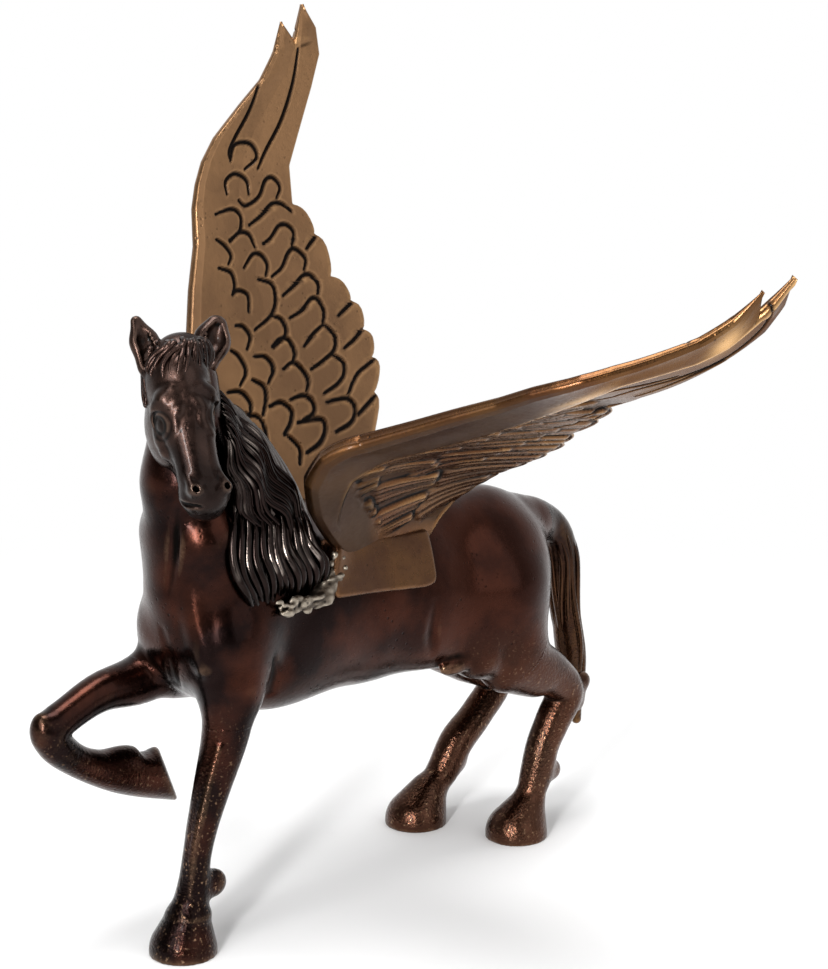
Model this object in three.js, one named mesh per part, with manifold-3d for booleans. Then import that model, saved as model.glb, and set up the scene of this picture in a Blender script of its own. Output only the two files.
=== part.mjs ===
// Winged horse figurine, cast brass, standing on three hooves with the right foreleg raised.
// Millimetres, Z up, the horse faces -Y and its own left side is +X.
import * as THREE from "three";
import { mergeVertices } from "three/addons/utils/BufferGeometryUtils.js";
import Module from "manifold-3d";

const wasm = await Module();
wasm.setup();

// Driving dimensions
const BELLY_HEIGHT = 60;
const TRUNK_LENGTH = 110;
const TRUNK_WIDTH = 38;
const TRUNK_DEPTH = 50;
const STANCE_WIDTH = 28;
const NECK_LENGTH = 64;
const HEAD_LENGTH = 54;
const HEAD_TURN = 70;
const HEAD_DROP = 61;
const TAIL_LENGTH = 71;
const WING_SPAN = 153;
const WING_CHORD = 78;
const WING_PLATE = 2.4;
const WING_LEADING_RADIUS = 3.4;
const ROOT_SPAN = 42;
const FEATHER_RELIEF = 0.7;
const CHASED_WIDTH = 1.4;
const CHASED_DEPTH = 0.55;
const PAD_LENGTH = 42;
const PAD_HEIGHT = 15;
const PAD_THICKNESS = 4.4;
const BODY_WALL = 3.2;
const JOINT_GAP = 0.3;
const FACET = { body: 6, hollow: 11, leg: 3.6, head: 2.7, ear: 1.9, tail: 3.6, pad: 6, solder: 3.4 };

const V = (x, y, z) => new THREE.Vector3(x, y, z);

// Distance to a tapered limb with round ends
const limb = (a, ra, b, rb, blend = 4, squash = null) => {
  const A = V(...a);
  const B = V(...b);
  const mid = A.clone().add(B).multiplyScalar(0.5);
  const dir = squash ? V(...squash[0]).normalize() : null;
  const grow = squash ? 1 / squash[1] - 1 : 0;
  const pull = (p) => (dir ? p.addScaledVector(dir, p.clone().sub(mid).dot(dir) * grow) : p);
  pull(A);
  pull(B);
  const ab = B.clone().sub(A);
  const l2 = Math.max(ab.lengthSq(), 1e-9);
  const dr = ra - rb;
  const a2 = Math.max(l2 - dr * dr, 1e-6);
  const soft = squash ? Math.sqrt(Math.min(1, squash[1])) : 1;
  const at = (q) => {
    const pa = pull(q.clone()).sub(A);
    const y = pa.dot(ab);
    const z = y - l2;
    const x2 = pa.multiplyScalar(l2).addScaledVector(ab, -y).lengthSq();
    const side = Math.sign(dr) * dr * dr * x2;
    if (Math.sign(z) * a2 * z * z * l2 > side) {
      return soft * (Math.sqrt(x2 + z * z * l2) / l2 - rb);
    }
    if (Math.sign(y) * a2 * y * y * l2 < side) {
      return soft * (Math.sqrt(x2 + y * y * l2) / l2 - ra);
    }
    return soft * ((Math.sqrt(x2 * a2 / l2) + y * dr) / l2 - ra);
  };
  const box = new THREE.Box3();
  box.expandByPoint(V(...a).addScalar(-ra)).expandByPoint(V(...a).addScalar(ra));
  box.expandByPoint(V(...b).addScalar(-rb)).expandByPoint(V(...b).addScalar(rb));
  return { at, blend, box };
};

// Distance to an ellipsoid, upright or along three given axes
const ball = (c, r, blend = 4, axes = null) => {
  const C = V(...c);
  const R = V(...r);
  const R2 = R.clone().multiply(R);
  const at = (q) => {
    const v = q.clone().sub(C);
    const w = axes ? V(v.dot(axes[0]), v.dot(axes[1]), v.dot(axes[2])) : v;
    const k0 = w.clone().divide(R).length();
    const k1 = Math.max(w.divide(R2).length(), 1e-6);
    return k0 * (k0 - 1) / k1;
  };
  const m = axes ? V(1, 1, 1).multiplyScalar(Math.max(...r)) : R;
  return { at, blend, box: new THREE.Box3(C.clone().sub(m), C.clone().add(m)) };
};

// Smooth union of all lumps at one point
const clay = (lumps) => (p) => {
  let d = 60;
  for (const lump of lumps) {
    const e = lump.at(p);
    const h = Math.max(lump.blend - Math.abs(d - e), 0) / lump.blend;
    d = Math.min(d, e) - h * h * lump.blend * 0.25;
  }
  return d;
};

// Solid from a closed triangle list
const solid = (points, faces) => new wasm.Manifold(new wasm.Mesh({
  numProp: 3,
  vertProperties: new Float32Array(points),
  triVerts: new Uint32Array(faces),
}));

const fromGeometry = (geometry) => {
  const g = geometry.clone();
  g.deleteAttribute("normal");
  g.deleteAttribute("uv");
  const m = mergeVertices(g, 1e-4);
  return solid(m.attributes.position.array, m.index.array);
};

// The largest connected body of a cut solid, without the chips that a cut leaves
const mainBody = (shape) => {
  const { vertProperties: xyz, triVerts: tri } = shape.getMesh();
  const owner = Array.from({ length: xyz.length / 3 }, (_, i) => i);
  const find = (i) => {
    let root = i;
    while (owner[root] !== root) {
      root = owner[root];
    }
    owner[i] = root;
    return root;
  };
  for (let i = 0; i < tri.length; i += 3) {
    owner[find(tri[i + 1])] = find(tri[i]);
    owner[find(tri[i + 2])] = find(tri[i]);
  }
  const count = new Map();
  for (let i = 0; i < tri.length; i += 3) {
    count.set(find(tri[i]), (count.get(find(tri[i])) ?? 0) + 1);
  }
  const main = [...count].sort((a, b) => b[1] - a[1])[0][0];
  const kept = [];
  for (let i = 0; i < tri.length; i += 3) {
    if (find(tri[i]) === main) {
      kept.push(tri[i], tri[i + 1], tri[i + 2]);
    }
  }
  return solid(xyz, kept);
};

// Corner, edge and face order of one sampling cell
const CORNERS = [0, 1, 2, 3, 4, 5, 6, 7].map((c) => [c & 1, (c >> 1) & 1, (c >> 2) & 1]);
const EDGES = [
  [0, 1], [2, 3], [4, 5], [6, 7], [0, 2], [1, 3], [4, 6], [5, 7], [0, 4], [1, 5], [2, 6], [3, 7],
];
const LOOPS = [[0, 2, 6, 4], [1, 3, 7, 5], [0, 1, 5, 4], [2, 3, 7, 6], [0, 1, 3, 2], [4, 5, 7, 6]];
const edgeOf = (a, b) => EDGES.findIndex(([p, q]) => (p === a && q === b) || (p === b && q === a));
const LOOP_EDGES = LOOPS.map((loop) => loop.map((c, i) => edgeOf(c, loop[(i + 1) % 4])));

// Surface patches of a cell: each crossed edge gets the number of its patch
const patchesOf = (inside) => {
  const group = EDGES.map((e, i) => i);
  const find = (i) => (group[i] === i ? i : find(group[i]));
  LOOPS.forEach((loop, f) => {
    for (let i = 0; i < 4; i += 1) {
      if (!inside[loop[i]] || inside[loop[(i + 3) % 4]]) {
        continue;
      }
      let j = i;
      while (inside[loop[(j + 1) % 4]]) {
        j += 1;
      }
      group[find(LOOP_EDGES[f][(i + 3) % 4])] = find(LOOP_EDGES[f][j % 4]);
    }
  });
  return EDGES.map(([a, b], i) => (inside[a] === inside[b] ? -1 : find(i)));
};

// Facets the surface where the field equals the level; the domain box may cut the lumps short
const facet = (lumps, cell, level = 0, domain = null) => {
  const field = clay(lumps);
  const box = new THREE.Box3();
  lumps.forEach((l) => box.union(l.box));
  box.expandByScalar(Math.max(level, 0) + 3);
  if (domain) {
    box.intersect(domain);
  }
  box.expandByScalar(cell);
  const size = box.getSize(V(0, 0, 0));
  const [nx, ny, nz] = size.toArray().map((s) => Math.ceil(s / cell) + 1);
  const at = (i, j, k) => i + nx * (j + ny * k);
  const spot = (i, j, k) => V(i, j, k).multiplyScalar(cell).add(box.min);
  const value = new Float32Array(nx * ny * nz).fill(1);
  for (let k = 1; k < nz - 1; k += 1) {
    for (let j = 1; j < ny - 1; j += 1) {
      for (let i = 1; i < nx - 1; i += 1) {
        const d = field(spot(i, j, k)) - level;
        value[at(i, j, k)] = Math.abs(d) < 1e-4 ? 1e-4 : d;
      }
    }
  }
  const points = [];
  const patch = new Map();
  for (let k = 0; k < nz - 1; k += 1) {
    for (let j = 0; j < ny - 1; j += 1) {
      for (let i = 0; i < nx - 1; i += 1) {
        const d = CORNERS.map(([a, b, c]) => value[at(i + a, j + b, k + c)]);
        const inside = d.map((v) => v < 0);
        if (inside.every((s) => s) || !inside.some((s) => s)) {
          continue;
        }
        const groups = patchesOf(inside);
        for (const g of new Set(groups.filter((n) => n >= 0))) {
          const mean = V(0, 0, 0);
          let count = 0;
          groups.forEach((n, e) => {
            if (n !== g) {
              return;
            }
            const [a, b] = EDGES[e];
            const t = d[a] / (d[a] - d[b]);
            mean.add(V(...CORNERS[a]).lerp(V(...CORNERS[b]), t));
            count += 1;
            patch.set(at(i, j, k) * 12 + e, points.length);
          });
          const start = mean.divideScalar(count).add(V(i, j, k)).multiplyScalar(cell).add(box.min);
          points.push(settle(field, level, start, cell * 0.45));
        }
      }
    }
  }
  const faces = [];
  const middle = (a, b) => Math.abs(field(points[a].clone().lerp(points[b], 0.5)) - level);
  const around = [
    [[0, -1, -1, 3], [0, 0, -1, 2], [0, 0, 0, 0], [0, -1, 0, 1]],
    [[-1, 0, -1, 7], [-1, 0, 0, 5], [0, 0, 0, 4], [0, 0, -1, 6]],
    [[-1, -1, 0, 11], [0, -1, 0, 10], [0, 0, 0, 8], [-1, 0, 0, 9]],
  ];
  for (let k = 0; k < nz; k += 1) {
    for (let j = 0; j < ny; j += 1) {
      for (let i = 0; i < nx; i += 1) {
        for (let axis = 0; axis < 3; axis += 1) {
          const next = [i, j, k];
          next[axis] += 1;
          if (next[axis] >= [nx, ny, nz][axis]) {
            continue;
          }
          const here = value[at(i, j, k)] < 0;
          if (here === value[at(...next)] < 0) {
            continue;
          }
          const quad = around[axis].map(([a, b, c, e]) => patch.get(at(i + a, j + b, k + c) * 12 + e));
          if (!here) {
            quad.reverse();
          }
          const [a, b, c, d] = quad;
          faces.push(...(middle(a, c) < middle(b, d) ? [a, b, c, a, c, d] : [b, c, d, b, d, a]));
        }
      }
    }
  }
  return { points, faces };
};

// Moves a point onto the level surface of the field
const settle = (field, level, start, reach) => {
  const p = start.clone();
  const h = 0.05;
  for (let step = 0; step < 3; step += 1) {
    const g = V(
      field(p.clone().add(V(h, 0, 0))) - field(p.clone().add(V(-h, 0, 0))),
      field(p.clone().add(V(0, h, 0))) - field(p.clone().add(V(0, -h, 0))),
      field(p.clone().add(V(0, 0, h))) - field(p.clone().add(V(0, 0, -h))),
    ).multiplyScalar(0.5 / h);
    const d = THREE.MathUtils.clamp(field(p) - level, -reach, reach);
    p.addScaledVector(g, -d / Math.max(g.lengthSq(), 0.2));
  }
  const moved = p.sub(start).clampLength(0, reach);
  return start.clone().add(moved);
};

const flat = (points) => points.flatMap((p) => [p.x, p.y, p.z]);
const sculpt = (lumps, cell, level = 0, domain = null) => {
  const { points, faces } = facet(lumps, cell, level, domain);
  return solid(flat(points), faces);
};

// Closed tube from rings of equally many points
const tube = (points, n, flip) => {
  const last = points.length - n;
  const faces = [];
  const push = (a, b, c) => faces.push(...(flip ? [a, c, b] : [a, b, c]));
  for (let r = 0; r < last; r += n) {
    for (let i = 0; i < n; i += 1) {
      const j = (i + 1) % n;
      push(r + i, r + j, r + n + j);
      push(r + i, r + n + j, r + n + i);
    }
  }
  for (let i = 1; i < n - 1; i += 1) {
    push(0, i + 1, i);
    push(last, last + i, last + i + 1);
  }
  return solid(flat(points), faces);
};

// The same facets moved outwards by the joint gap, to cut room for a neighbour
const slopeAt = (field, p) => {
  const h = 0.05;
  const rise = (x, y, z) => field(p.clone().add(V(x, y, z))) - field(p.clone().add(V(-x, -y, -z)));
  return V(rise(h, 0, 0), rise(0, h, 0), rise(0, 0, h)).normalize();
};
const roomFor = (lumps, grid) => {
  const field = clay(lumps);
  const grown = grid.points.map((p) => p.clone().addScaledVector(slopeAt(field, p), JOINT_GAP));
  return solid(flat(grown), grid.faces);
};

// Box with its first face on a seam plane, reaching away from it along the given direction
const seamBlock = ({ at, toward, half }, gap) => {
  const reach = 95;
  const across = [1, 0, 0];
  const z = V(...toward).normalize();
  const x = V(...across).addScaledVector(z, -V(...across).dot(z)).normalize();
  const y = z.clone().cross(x);
  const geometry = new THREE.BoxGeometry(2 * half[0] + 2 * gap, 2 * half[1] + 2 * gap, reach);
  geometry.translate(0, 0, reach / 2 - gap);
  geometry.applyMatrix4(new THREE.Matrix4().makeBasis(x, y, z).setPosition(...at));
  return fromGeometry(geometry);
};
const mirrored = (lumps) => lumps.map((l) => ({
  at: (p) => l.at(V(-p.x, p.y, p.z)),
  blend: l.blend,
  box: new THREE.Box3(V(-l.box.max.x, l.box.min.y, l.box.min.z), V(-l.box.min.x, l.box.max.y, l.box.max.z)),
}));

// Landmarks along the length and the height of the horse
const SHOULDER_Y = -0.455 * TRUNK_LENGTH;
const HIP_Y = 0.545 * TRUNK_LENGTH;
const RUMP_Y = 0.709 * TRUNK_LENGTH;
const WITHERS = BELLY_HEIGHT + TRUNK_DEPTH;
const DOCK = BELLY_HEIGHT + 0.72 * TRUNK_DEPTH;
const PAD_Y = 0.073 * TRUNK_LENGTH;
const PAD_Z = WITHERS - 10;
const EVERYWHERE = 3 * WING_SPAN;

// Torso: places and radii as shares of its width, length and depth
const onTrunk = (x, y, z) => [x * TRUNK_WIDTH, y * TRUNK_LENGTH, BELLY_HEIGHT + z * TRUNK_DEPTH];
const girth = (x, y, z) => [x * TRUNK_WIDTH, y * TRUNK_LENGTH, z * TRUNK_DEPTH];
const flank = [
  limb(onTrunk(0.21, -0.2, 1), 8, onTrunk(0.263, -0.436, 0.56), 11.5, 8),
  limb(onTrunk(0.263, -0.436, 0.56), 10, onTrunk(0.342, -0.436, 0.28), 8.4, 6),
  ball(onTrunk(0.25, 0.545, 0.46), girth(0.303, 0.182, 0.4), 8),
  limb(onTrunk(0.29, 0.509, 0.4), 12, onTrunk(0.368, 0.436, 0.08), 8.5, 8),
  limb(onTrunk(0.29, 0.564, 0.44), 12, onTrunk(0.342, 0.6, 0.12), 9, 8),
  ball(onTrunk(0.263, 0.327, 0.36), girth(0.25, 0.182, 0.32), 8),
];
const torso = [
  ball(onTrunk(0, 0.127, 0.49), girth(0.5, 0.418, 0.496), 6),
  ball(onTrunk(0, -0.2, 0.52), girth(0.513, 0.273, 0.52), 8),
  ball(onTrunk(0, -0.382, 0.56), girth(0.421, 0.182, 0.42), 6),
  limb(onTrunk(0, -0.127, 1.04), 9, onTrunk(0, 0.255, 0.84), 8, 10),
  limb(onTrunk(0, 0.255, 0.8), 10, onTrunk(0, 0.545, 0.735), 13, 10),
  ball(onTrunk(0, 0.564, 0.58), girth(0.395, 0.2, 0.37), 8),
  ...flank,
  ...mirrored(flank),
];

// Neck: heights as shares of its length above the withers
const SIDEWAYS = [1, 0, 0];
const onNeck = (x, y, z) => [x, SHOULDER_Y + y, WITHERS + z * NECK_LENGTH];
const neck = [
  limb(onNeck(0, 2, -0.1), 15.4, onNeck(0, -2, 0.375), 12.6, 6, [SIDEWAYS, 0.88]),
  limb(onNeck(0, -2, 0.375), 12.6, onNeck(0, -2, 0.81), 9.4, 5, [SIDEWAYS, 0.95]),
  limb(onNeck(0, 28, -0.03), 12, onNeck(0, 12, 0.56), 8, 8, [SIDEWAYS, 0.7]),
];

// Legs: places outwards and backwards from the shoulder or the hip, heights as shares of the belly height
const onLeg = (side, top) => (x, y, z) => [side * (STANCE_WIDTH / 2 + x), top + y, z * BELLY_HEIGHT];
const standing = onLeg(1, SHOULDER_Y);
const raised = onLeg(-1, SHOULDER_Y);
const rearLeft = onLeg(1, HIP_Y);
const rearRight = onLeg(-1, HIP_Y);
const leftFore = [
  limb(standing(0, 1, 1.267), 8.4, standing(0, -1.4, 1.033), 6.8, 3),
  limb(standing(0, -1.4, 1.033), 6.8, standing(0, -6, 0.8), 5.7, 1.2),
  limb(standing(0, -6, 0.8), 5.7, standing(0, -12.4, 0.467), 4.2, 1.2),
  limb(standing(0, -12.4, 0.467), 4.2, standing(0, -14.4, 0.3), 4.9, 1.2),
  limb(standing(0, -14.4, 0.3), 4.9, standing(-0.2, -15.6, 0.2), 5.4, 1.2),
  ball(standing(0.6, -7.8, 0.31), [3, 4.4, 4], 3),
  limb(standing(-0.3, -16, 0.165), 6.9, standing(-0.3, -18, 0.017), 9.8, 2),
];
const rightFore = [
  limb(raised(-1, 4, 1.3), 9, raised(0, -10, 1.238), 7.4, 3),
  limb(raised(0, -10, 1.238), 7.4, raised(0, -25, 1.25), 6.1, 1.2),
  limb(raised(0, -25, 1.25), 6.1, raised(0, -36, 1.19), 5.9, 1.2),
  ball(raised(0, -41, 1.12), [5.6, 6, 6.6], 3),
  limb(raised(0, -41, 1.06), 5.2, raised(0, -32, 0.9), 4.8, 1.5),
  limb(raised(0, -32, 0.9), 4.8, raised(0, -20.4, 0.79), 6.6, 1.2, [SIDEWAYS, 0.85]),
  limb(raised(0, -20.4, 0.79), 6.6, raised(0, -13, 0.762), 7.4, 1.2, [SIDEWAYS, 0.85]),
  limb(raised(0, -13, 0.762), 7.6, raised(0, 1.5, 0.68), 7.4, 1.2),
];
const leftHind = [
  limb(rearLeft(-1, -2, 1.267), 11, rearLeft(1, 4, 1), 9.8, 4),
  limb(rearLeft(1, 4, 1), 9.6, rearLeft(1, 19, 0.83), 7.8, 2),
  limb(rearLeft(1, 19, 0.83), 7.8, rearLeft(1, 27.5, 0.705), 5.8, 1.5),
  ball(rearLeft(1, 32.4, 0.725), [2.6, 3.2, 3], 3),
  limb(rearLeft(1, 27.5, 0.705), 5.8, rearLeft(1, 20.2, 0.4), 5.3, 1.5),
  limb(rearLeft(1, 20.2, 0.4), 5.3, rearLeft(1, 16.4, 0.23), 4.9, 1.2),
  limb(rearLeft(1, 16.4, 0.23), 4.9, rearLeft(1, 11, 0.165), 4.2, 1.5),
  limb(rearLeft(1, 9.6, 0.135), 5.6, rearLeft(1.4, 4.2, 0.017), 9.7, 2),
];
const rightHind = [
  limb(rearRight(-1, -2, 1.267), 11, rearRight(0.5, -8, 1.033), 8.6, 4),
  limb(rearRight(0.5, -8, 1.033), 8.6, rearRight(0, 6, 0.833), 6.4, 1.5),
  limb(rearRight(0, 6, 0.833), 6.4, rearRight(0, 26, 0.66), 5, 1.5),
  limb(rearRight(0, 26, 0.66), 5, rearRight(0, 17.5, 0.45), 4.9, 1.5),
  limb(rearRight(0, 17.5, 0.45), 4.9, rearRight(0, 5.6, 0.325), 5.1, 1.2),
  limb(rearRight(0, 5.6, 0.325), 5.1, rearRight(0, 1, 0.23), 4.8, 1.2),
  limb(rearRight(0, 1, 0.23), 4.8, rearRight(0, -4.5, 0.175), 4.2, 1.5),
  limb(rearRight(0, -6.6, 0.145), 6.2, rearRight(0.2, -11.2, 0.017), 9.7, 2),
];

// Tail: places behind the rump, drops as shares of its length
const onTail = (x, y, drop) => [x, RUMP_Y + y, DOCK - drop * TAIL_LENGTH];
const tailLumps = [
  limb(onTail(0, 0, 0), 5.4, onTail(0, 14.5, 0.028), 4.8, 5),
  limb(onTail(0, 14.5, 0.028), 4.8, onTail(0, 21.5, 0.155), 4.4, 3),
  limb(onTail(0, 21.5, 0.155), 4.4, onTail(0, 22.5, 0.43), 4.4, 3),
  limb(onTail(0, 22.5, 0.43), 4.4, onTail(1, 24, 0.676), 4.8, 3),
  limb(onTail(1, 24, 0.676), 4.8, onTail(1.5, 27, 1), 1.6, 3),
];

// Head, in its own directions: share of its length down the face, then left of it, then out of the forehead
const rad = THREE.MathUtils.degToRad;
const facing = V(Math.sin(rad(HEAD_TURN)), -Math.cos(rad(HEAD_TURN)), 0);
const headSide = V(Math.cos(rad(HEAD_TURN)), Math.sin(rad(HEAD_TURN)), 0);
const cosDrop = Math.cos(rad(HEAD_DROP));
const sinDrop = Math.sin(rad(HEAD_DROP));
const headDown = facing.clone().multiplyScalar(cosDrop).addScaledVector(V(0, 0, 1), -sinDrop);
const headOut = facing.clone().multiplyScalar(sinDrop).addScaledVector(V(0, 0, 1), cosDrop);
const headAxes = [headDown, headSide, headOut];
const POLL = V(...onNeck(0.2, -6.6, 0.978));
const face = ([l, s, f]) => {
  const bow = 2.9 * Math.min(1.2, ((l - 0.407) / 0.426) ** 2);
  return POLL.clone().addScaledVector(headDown, l * HEAD_LENGTH).addScaledVector(headSide, s + bow)
    .addScaledVector(headOut, f).toArray();
};
const faceLimb = (a, ra, b, rb, blend, squash) => limb(face(a), ra, face(b), rb, blend, squash);
const faceBall = (c, [r, ...rest], blend) => ball(face(c), [r * HEAD_LENGTH, ...rest], blend, headAxes);
const headLumps = [
  faceBall([0.19, 0, -1], [0.235, 9.4, 9.4], 4),
  faceLimb([0.167, 0, 3], 6.4, [0.66, 0, 2.2], 4.6, 5),
  faceBall([0.765, 0, -1.2], [0.12, 7.2, 6.6], 4),
  faceLimb([0.37, 0, -9.5], 5, [0.78, 0, -6], 3.4, 4),
  faceBall([0.82, 0, -5.2], [0.07, 4.8, 4], 2.5),
  faceBall([0.04, 0, 2.2], [0.11, 7.3, 4.5], 3),
];
const ears = [];
for (const s of [1, -1]) {
  headLumps.push(
    faceBall([0.39, s * 4.9, -6], [0.195, 4.3, 9.2], 4),
    faceLimb([0.3, s * 5.5, 5.6], 2.2, [0.345, s * 8, 2.6], 1.7, 2.5),
    faceBall([0.405, s * 7.2, 1.3], [0.052, 2.5, 2.8], 1.5),
    faceBall([0.765, s * 4.7, 2.6], [0.06, 2.6, 3], 3),
    faceLimb([0.06, s * 7.8, -1.5], 4, [-0.045, s * 9.7, -1.5], 4.2, 2, [headOut.toArray(), 0.6]),
    faceLimb([-0.045, s * 9.7, -1.5], 4.2, [-0.15, s * 11.3, -1], 1.8, 2, [headOut.toArray(), 0.7]),
  );
  ears.push(faceLimb([0.04, s * 8.8, 2.2], 2.4, [-0.1, s * 10.8, 1.4], 1.4, 1));
}

// Seam planes between the castings; half is the half width and half height of the cut on its plane
const SEAMS = {
  leftFore: { at: standing(0, -12, 1.092), toward: [0, 0, -1], half: [9.8, 19.9] },
  rightFore: { at: raised(0, -5, 1.225), toward: [0, -0.72, -0.69], half: [9.6, 40] },
  leftHind: { at: rearLeft(0.5, 4, 1), toward: [0, 0.62, -0.78], half: [11, 70] },
  rightHind: { at: rearRight(0.5, 1.5, 0.9), toward: [0, 0.76, -0.65], half: [11, 70] },
  tail: { at: [0, RUMP_Y + 9, DOCK], toward: [0, 1, 0], half: [14, TAIL_LENGTH * 1.4] },
  head: { at: face([0.185, 0, -8]), toward: headOut.toArray(), half: [1.5 * HEAD_LENGTH, 2 * HEAD_LENGTH] },
};

// Grown box round the lumps of one casting
const roomAround = (lumps) => (
  lumps.reduce((box, l) => box.union(l.box), new THREE.Box3()).expandByScalar(1.5)
);
const ground = fromGeometry(new THREE.BoxGeometry(EVERYWHERE, EVERYWHERE, 40).translate(0, 0, -20));
const casting = (lumps, seam, cell) => (
  sculpt([...torso, ...lumps], cell, 0, roomAround(lumps)).intersect(seamBlock(seam, 0)).subtract(ground)
);

const pieces = {};
pieces.left_foreleg = casting(leftFore, SEAMS.leftFore, FACET.leg);
pieces.right_foreleg = casting(rightFore, SEAMS.rightFore, FACET.leg);
pieces.left_hindleg = casting(leftHind, SEAMS.leftHind, FACET.leg);
pieces.right_hindleg = casting(rightHind, SEAMS.rightHind, FACET.leg);
pieces.tail = casting(tailLumps, SEAMS.tail, FACET.tail);

// The sole of the raised hoof is cut flat
const raisedSole = { at: raised(0, 0.3, 0.68), toward: [0.6, 0.753, 0.269], half: [30, 30] };
pieces.right_foreleg = pieces.right_foreleg.subtract(seamBlock(raisedSole, 0));

const headAll = [...neck.slice(1, 2), ...headLumps];
const headGrid = facet(headAll, FACET.head, 0, roomAround(headLumps));
const headRoom = roomFor(headAll, headGrid).intersect(seamBlock(SEAMS.head, JOINT_GAP));
pieces.head = solid(flat(headGrid.points), headGrid.faces).intersect(seamBlock(SEAMS.head, 0));
for (const ear of ears) {
  pieces.head = pieces.head.subtract(sculpt([ear], FACET.ear));
}

// Body: a shell, open where the castings are joined on, in two halves
const bodyLumps = [...torso, ...neck, leftFore[0], rightFore[0], leftHind[0], rightHind[0], tailLumps[0]];
const bodyGrid = facet(bodyLumps, FACET.body);
const bodyRoom = roomFor(bodyLumps, bodyGrid);
const hollow = sculpt([...torso, neck[0]], FACET.hollow, -BODY_WALL);
let body = solid(flat(bodyGrid.points), bodyGrid.faces).subtract(hollow);
for (const seam of Object.values(SEAMS)) {
  body = body.subtract(seamBlock(seam, JOINT_GAP));
}
const sideBlock = (side) => fromGeometry(
  new THREE.BoxGeometry(EVERYWHERE, EVERYWHERE, EVERYWHERE)
    .translate(side * (EVERYWHERE / 2 + JOINT_GAP / 2), 0, 0),
);
pieces.body_left_half = body.intersect(sideBlock(1));
pieces.body_right_half = body.intersect(sideBlock(-1));

// Wing outlines as shares of span and chord: leading edge, notches between the scallops, and the hand
const LEADING = [
  [0, -0.13], [0.052, -0.224], [0.105, -0.308], [0.157, -0.346], [0.209, -0.314], [0.275, -0.218],
  [0.379, -0.167], [0.458, -0.135], [0.542, -0.09], [0.614, -0.077], [0.66, -0.051], [0.703, -0.013],
  [0.748, 0.051], [0.81, 0.18], [0.856, 0.282], [0.908, 0.354], [0.967, 0.397],
];
const NOTCHES = [
  [0.137, 0.57], [0.229, 0.635], [0.297, 0.647], [0.353, 0.622], [0.412, 0.583], [0.464, 0.506],
  [0.549, 0.455], [0.611, 0.372],
];
const HAND = [[0.686, 0.377], [0.758, 0.442], [0.837, 0.513], [0.902, 0.564], [0.954, 0.558], [1, 0.506]];
const LOBE = 0.033;
const trailing = [[0, 0.346], [0.052, 0.449], [0.098, 0.526]];
NOTCHES.forEach(([s, t], i) => {
  trailing.push([s, t]);
  if (i < NOTCHES.length - 1) {
    const [s1, t1] = NOTCHES[i + 1];
    for (const [along, out] of [[0.35, 0.72], [0.78, 1.04]]) {
      trailing.push([s + (s1 - s) * along, t + (t1 - t) * along + LOBE * out]);
    }
  }
});
trailing.push(...HAND);
const between = (line, s) => {
  const i = Math.max(0, line.slice(0, -1).findLastIndex((p) => p[0] <= s));
  const [s0, t0] = line[i];
  const [s1, t1] = line[i + 1];
  return t0 + (t1 - t0) * THREE.MathUtils.clamp((s - s0) / (s1 - s0), 0, 1);
};

// Setting of each wing: lean out from upright, sweep, toe, place of its root, bend and tip curl
const onBack = (x, y, z) => [x, y * TRUNK_LENGTH, WITHERS + z];
const WINGS = {
  left_wing: {
    side: 1, lean: 64, sweep: 16.25, toe: -3.1, foot: onBack(7.8, -0.177, 17.5), bend: -0.00018, curl: 21.6,
  },
  right_wing: {
    side: -1, lean: 17.8, sweep: 2.9, toe: -7.9, foot: onBack(-18, -0.127, 0), bend: 0.000615, curl: 0,
  },
};
const BEND_START = 0.392 * WING_SPAN;
const CURL_START = 0.654 * WING_SPAN;
const wingSurface = ({ side, lean, sweep, toe, foot, bend, curl }) => {
  const turn = new THREE.Matrix4().makeRotationZ(rad(-side * toe))
    .multiply(new THREE.Matrix4().makeRotationX(rad(-sweep)))
    .multiply(new THREE.Matrix4().makeRotationY(rad(side * lean)));
  const alongChord = V(0, 1, 0).applyMatrix4(turn);
  const alongSpan = V(0, 0, 1).applyMatrix4(turn);
  const inward = V(-side, 0, 0).applyMatrix4(turn);
  const blade = (s, t) => {
    const curled = Math.max(0, (s - CURL_START) / (WING_SPAN - CURL_START)) ** 2;
    return V(...foot).addScaledVector(alongSpan, s).addScaledVector(alongChord, t)
      .addScaledVector(inward, bend * Math.max(0, s - BEND_START) ** 2 + curl * curled);
  };
  const root = (t) => V(side * 0.329 * TRUNK_WIDTH, PAD_Y - 3.64 + t * 0.83, PAD_Z + 3.03 - t * 0.06);
  const rise = V(side * 0.31, -0.63, 1);
  return (s, t) => {
    if (s >= ROOT_SPAN) {
      return blade(s, t);
    }
    const u = s / ROOT_SPAN;
    const away = root(t).multiplyScalar(2 * u ** 3 - 3 * u * u + 1);
    away.addScaledVector(rise, ROOT_SPAN * (u ** 3 - 2 * u * u + u));
    away.addScaledVector(blade(ROOT_SPAN, t), 3 * u * u - 2 * u ** 3);
    return away.addScaledVector(alongSpan, ROOT_SPAN * (u ** 3 - u * u));
  };
};

// Place on a wing at a share of span and chord, w outwards from the middle of the blade on its inner side
const wingPlace = (setting) => {
  const surface = wingSurface(setting);
  return (s, t, w) => {
    const a = surface(s * WING_SPAN + 0.5, t * WING_CHORD).sub(surface(s * WING_SPAN - 0.5, t * WING_CHORD));
    const b = surface(s * WING_SPAN, t * WING_CHORD + 0.5).sub(surface(s * WING_SPAN, t * WING_CHORD - 0.5));
    return surface(s * WING_SPAN, t * WING_CHORD).addScaledVector(a.cross(b).normalize(), w * setting.side);
  };
};

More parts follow.
